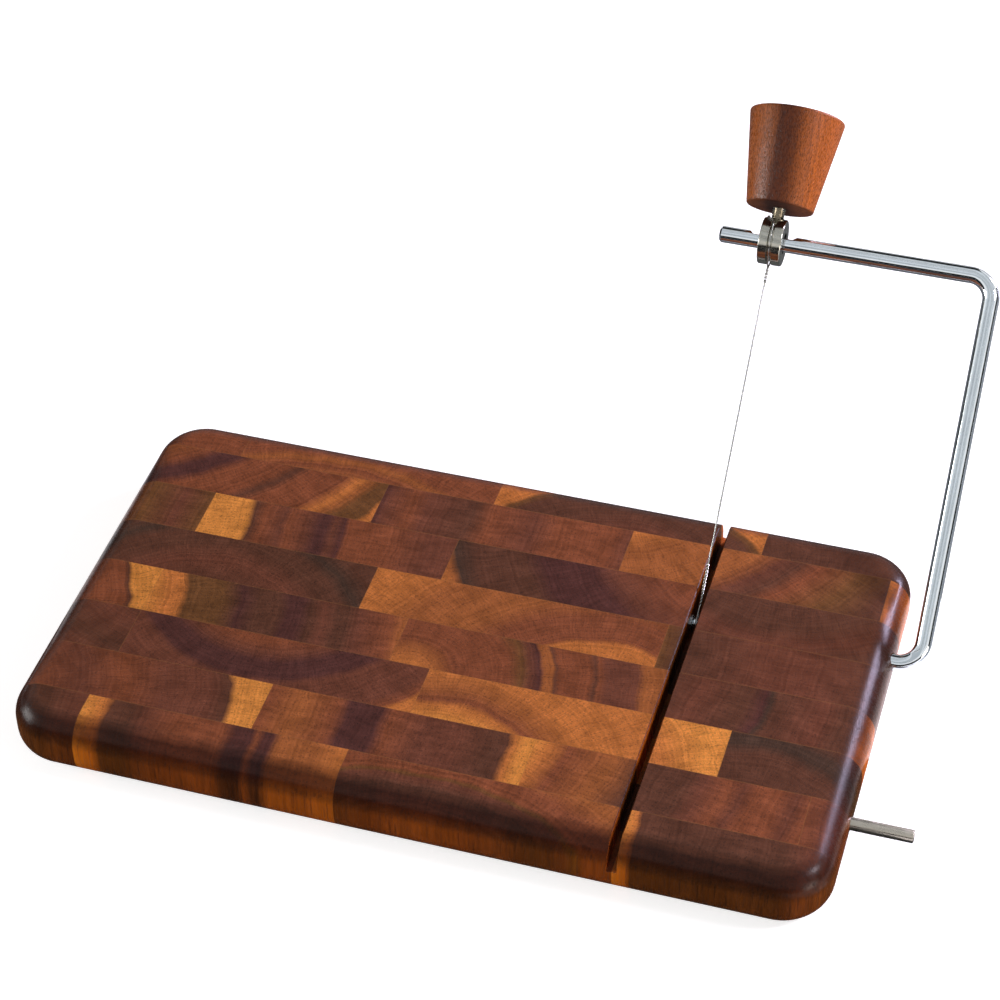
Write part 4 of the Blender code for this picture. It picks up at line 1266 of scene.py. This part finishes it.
def make_camera():
    """The photograph's viewpoint."""
    ahead = Vector((
        math.sin(CAMERA_YAW) * math.cos(CAMERA_PITCH),
        math.cos(CAMERA_YAW) * math.cos(CAMERA_PITCH),
        -math.sin(CAMERA_PITCH)))
    right = Vector((math.cos(CAMERA_YAW), -math.sin(CAMERA_YAW), 0))
    down = ahead.cross(right)
    turned_right = math.cos(CAMERA_ROLL) * right + math.sin(CAMERA_ROLL) * down
    turned_down = -math.sin(CAMERA_ROLL) * right + math.cos(CAMERA_ROLL) * down
    axes = Matrix((turned_right, -turned_down, -ahead)).transposed().to_4x4()
    camera = bpy.data.cameras.new("camera")
    camera.lens = CAMERA_LENS
    camera.sensor_width = CAMERA_SENSOR
    camera.clip_start, camera.clip_end = 0.01, 50.0
    placed = link_object("camera", camera)
    placed.matrix_world = Matrix.Translation(CAMERA_PLACE) @ axes
    bpy.context.scene.camera = placed


class SLICER_OT_blocks(bpy.types.Operator):
    """Cut and dress every glued block of the board"""

    bl_idname = "slicer.blocks"
    bl_label = "Board blocks"

    def execute(self, context):
        make_blocks(context.scene.slicer_sizes, context.scene.slicer_colours)
        return {"FINISHED"}


class SLICER_OT_bow(bpy.types.Operator):
    """Bend and dress the rod bow"""

    bl_idname = "slicer.bow"
    bl_label = "Bow"

    def execute(self, context):
        make_bow(context.scene.slicer_sizes, context.scene.slicer_colours)
        return {"FINISHED"}


class SLICER_OT_collar(bpy.types.Operator):
    """Turn and dress the grooved collar"""

    bl_idname = "slicer.collar"
    bl_label = "Collar"

    def execute(self, context):
        make_collar(context.scene.slicer_sizes, context.scene.slicer_colours)
        return {"FINISHED"}


class SLICER_OT_stud(bpy.types.Operator):
    """Wind and dress the threaded stud"""

    bl_idname = "slicer.stud"
    bl_label = "Stud"

    def execute(self, context):
        make_stud(context.scene.slicer_sizes, context.scene.slicer_colours)
        return {"FINISHED"}


class SLICER_OT_knob(bpy.types.Operator):
    """Turn and dress the wooden knob"""

    bl_idname = "slicer.knob"
    bl_label = "Knob"

    def execute(self, context):
        make_knob(context.scene.slicer_sizes, context.scene.slicer_colours)
        return {"FINISHED"}


class SLICER_OT_wire(bpy.types.Operator):
    """Lay and dress the twisted cutting wire"""

    bl_idname = "slicer.wire"
    bl_label = "Cutting wire"

    def execute(self, context):
        make_wire(context.scene.slicer_sizes, context.scene.slicer_colours)
        return {"FINISHED"}


class SLICER_OT_pin(bpy.types.Operator):
    """Turn and dress the stop pin"""

    bl_idname = "slicer.pin"
    bl_label = "Stop pin"

    def execute(self, context):
        make_pin(context.scene.slicer_sizes, context.scene.slicer_colours)
        return {"FINISHED"}


class SLICER_OT_stage(bpy.types.Operator):
    """Set the floor, the world, the lamps and the camera"""

    bl_idname = "slicer.stage"
    bl_label = "Stage"

    def execute(self, context):
        context.scene.view_settings.view_transform = "Standard"
        make_floor(context.scene.slicer_colours)
        make_world()
        for lamp in LAMPS:
            make_lamp(*lamp)
        for card in CARDS:
            make_card(*card)
        for aside, width, strength in CEILING_STRIPS:
            make_sheet("ceiling_strip", (-CEILING_REACH, aside), (CEILING_REACH, aside + width),
                       CEILING_HEIGHT, strength, CEILING_TURN)
        for name, low, high, strength in MATS:
            make_sheet(name, low, high, MAT_HEIGHT, strength)
        make_room_wall()
        make_camera()
        return {"FINISHED"}


PIECES = (
    SLICER_OT_blocks, SLICER_OT_bow, SLICER_OT_collar, SLICER_OT_stud, SLICER_OT_knob,
    SLICER_OT_wire, SLICER_OT_pin, SLICER_OT_stage,
)


class SLICER_PT_panel(bpy.types.Panel):
    """Every piece of the slicer board, with its sizes and colours"""

    bl_idname = "SLICER_PT_panel"
    bl_label = "Cheese slicer board"
    bl_space_type = "VIEW_3D"
    bl_region_type = "UI"
    bl_category = "Slicer"

    def draw(self, context):
        column = self.layout.column(align=True)
        for piece in PIECES:
            column.operator(piece.bl_idname)
        for group in (context.scene.slicer_sizes, context.scene.slicer_colours):
            column = self.layout.column(align=True)
            for name in group.__annotations__:
                column.prop(group, name)


CLASSES = (SlicerSizes, SlicerColours, *PIECES, SLICER_PT_panel)


def register():
    """Register the classes and put the sizes and colours on the scene."""
    for cls in CLASSES:
        bpy.utils.register_class(cls)
    bpy.types.Scene.slicer_sizes = PointerProperty(type=SlicerSizes)
    bpy.types.Scene.slicer_colours = PointerProperty(type=SlicerColours)


def unregister():
    """Take all of it back."""
    del bpy.types.Scene.slicer_colours
    del bpy.types.Scene.slicer_sizes
    for cls in reversed(CLASSES):
        bpy.utils.unregister_class(cls)


def main():
    """Build every piece."""
    register()
    bpy.ops.slicer.blocks()
    bpy.ops.slicer.bow()
    bpy.ops.slicer.collar()
    bpy.ops.slicer.stud()
    bpy.ops.slicer.knob()
    bpy.ops.slicer.wire()
    bpy.ops.slicer.pin()
    bpy.ops.slicer.stage()


if __name__ == "__main__":
    main()
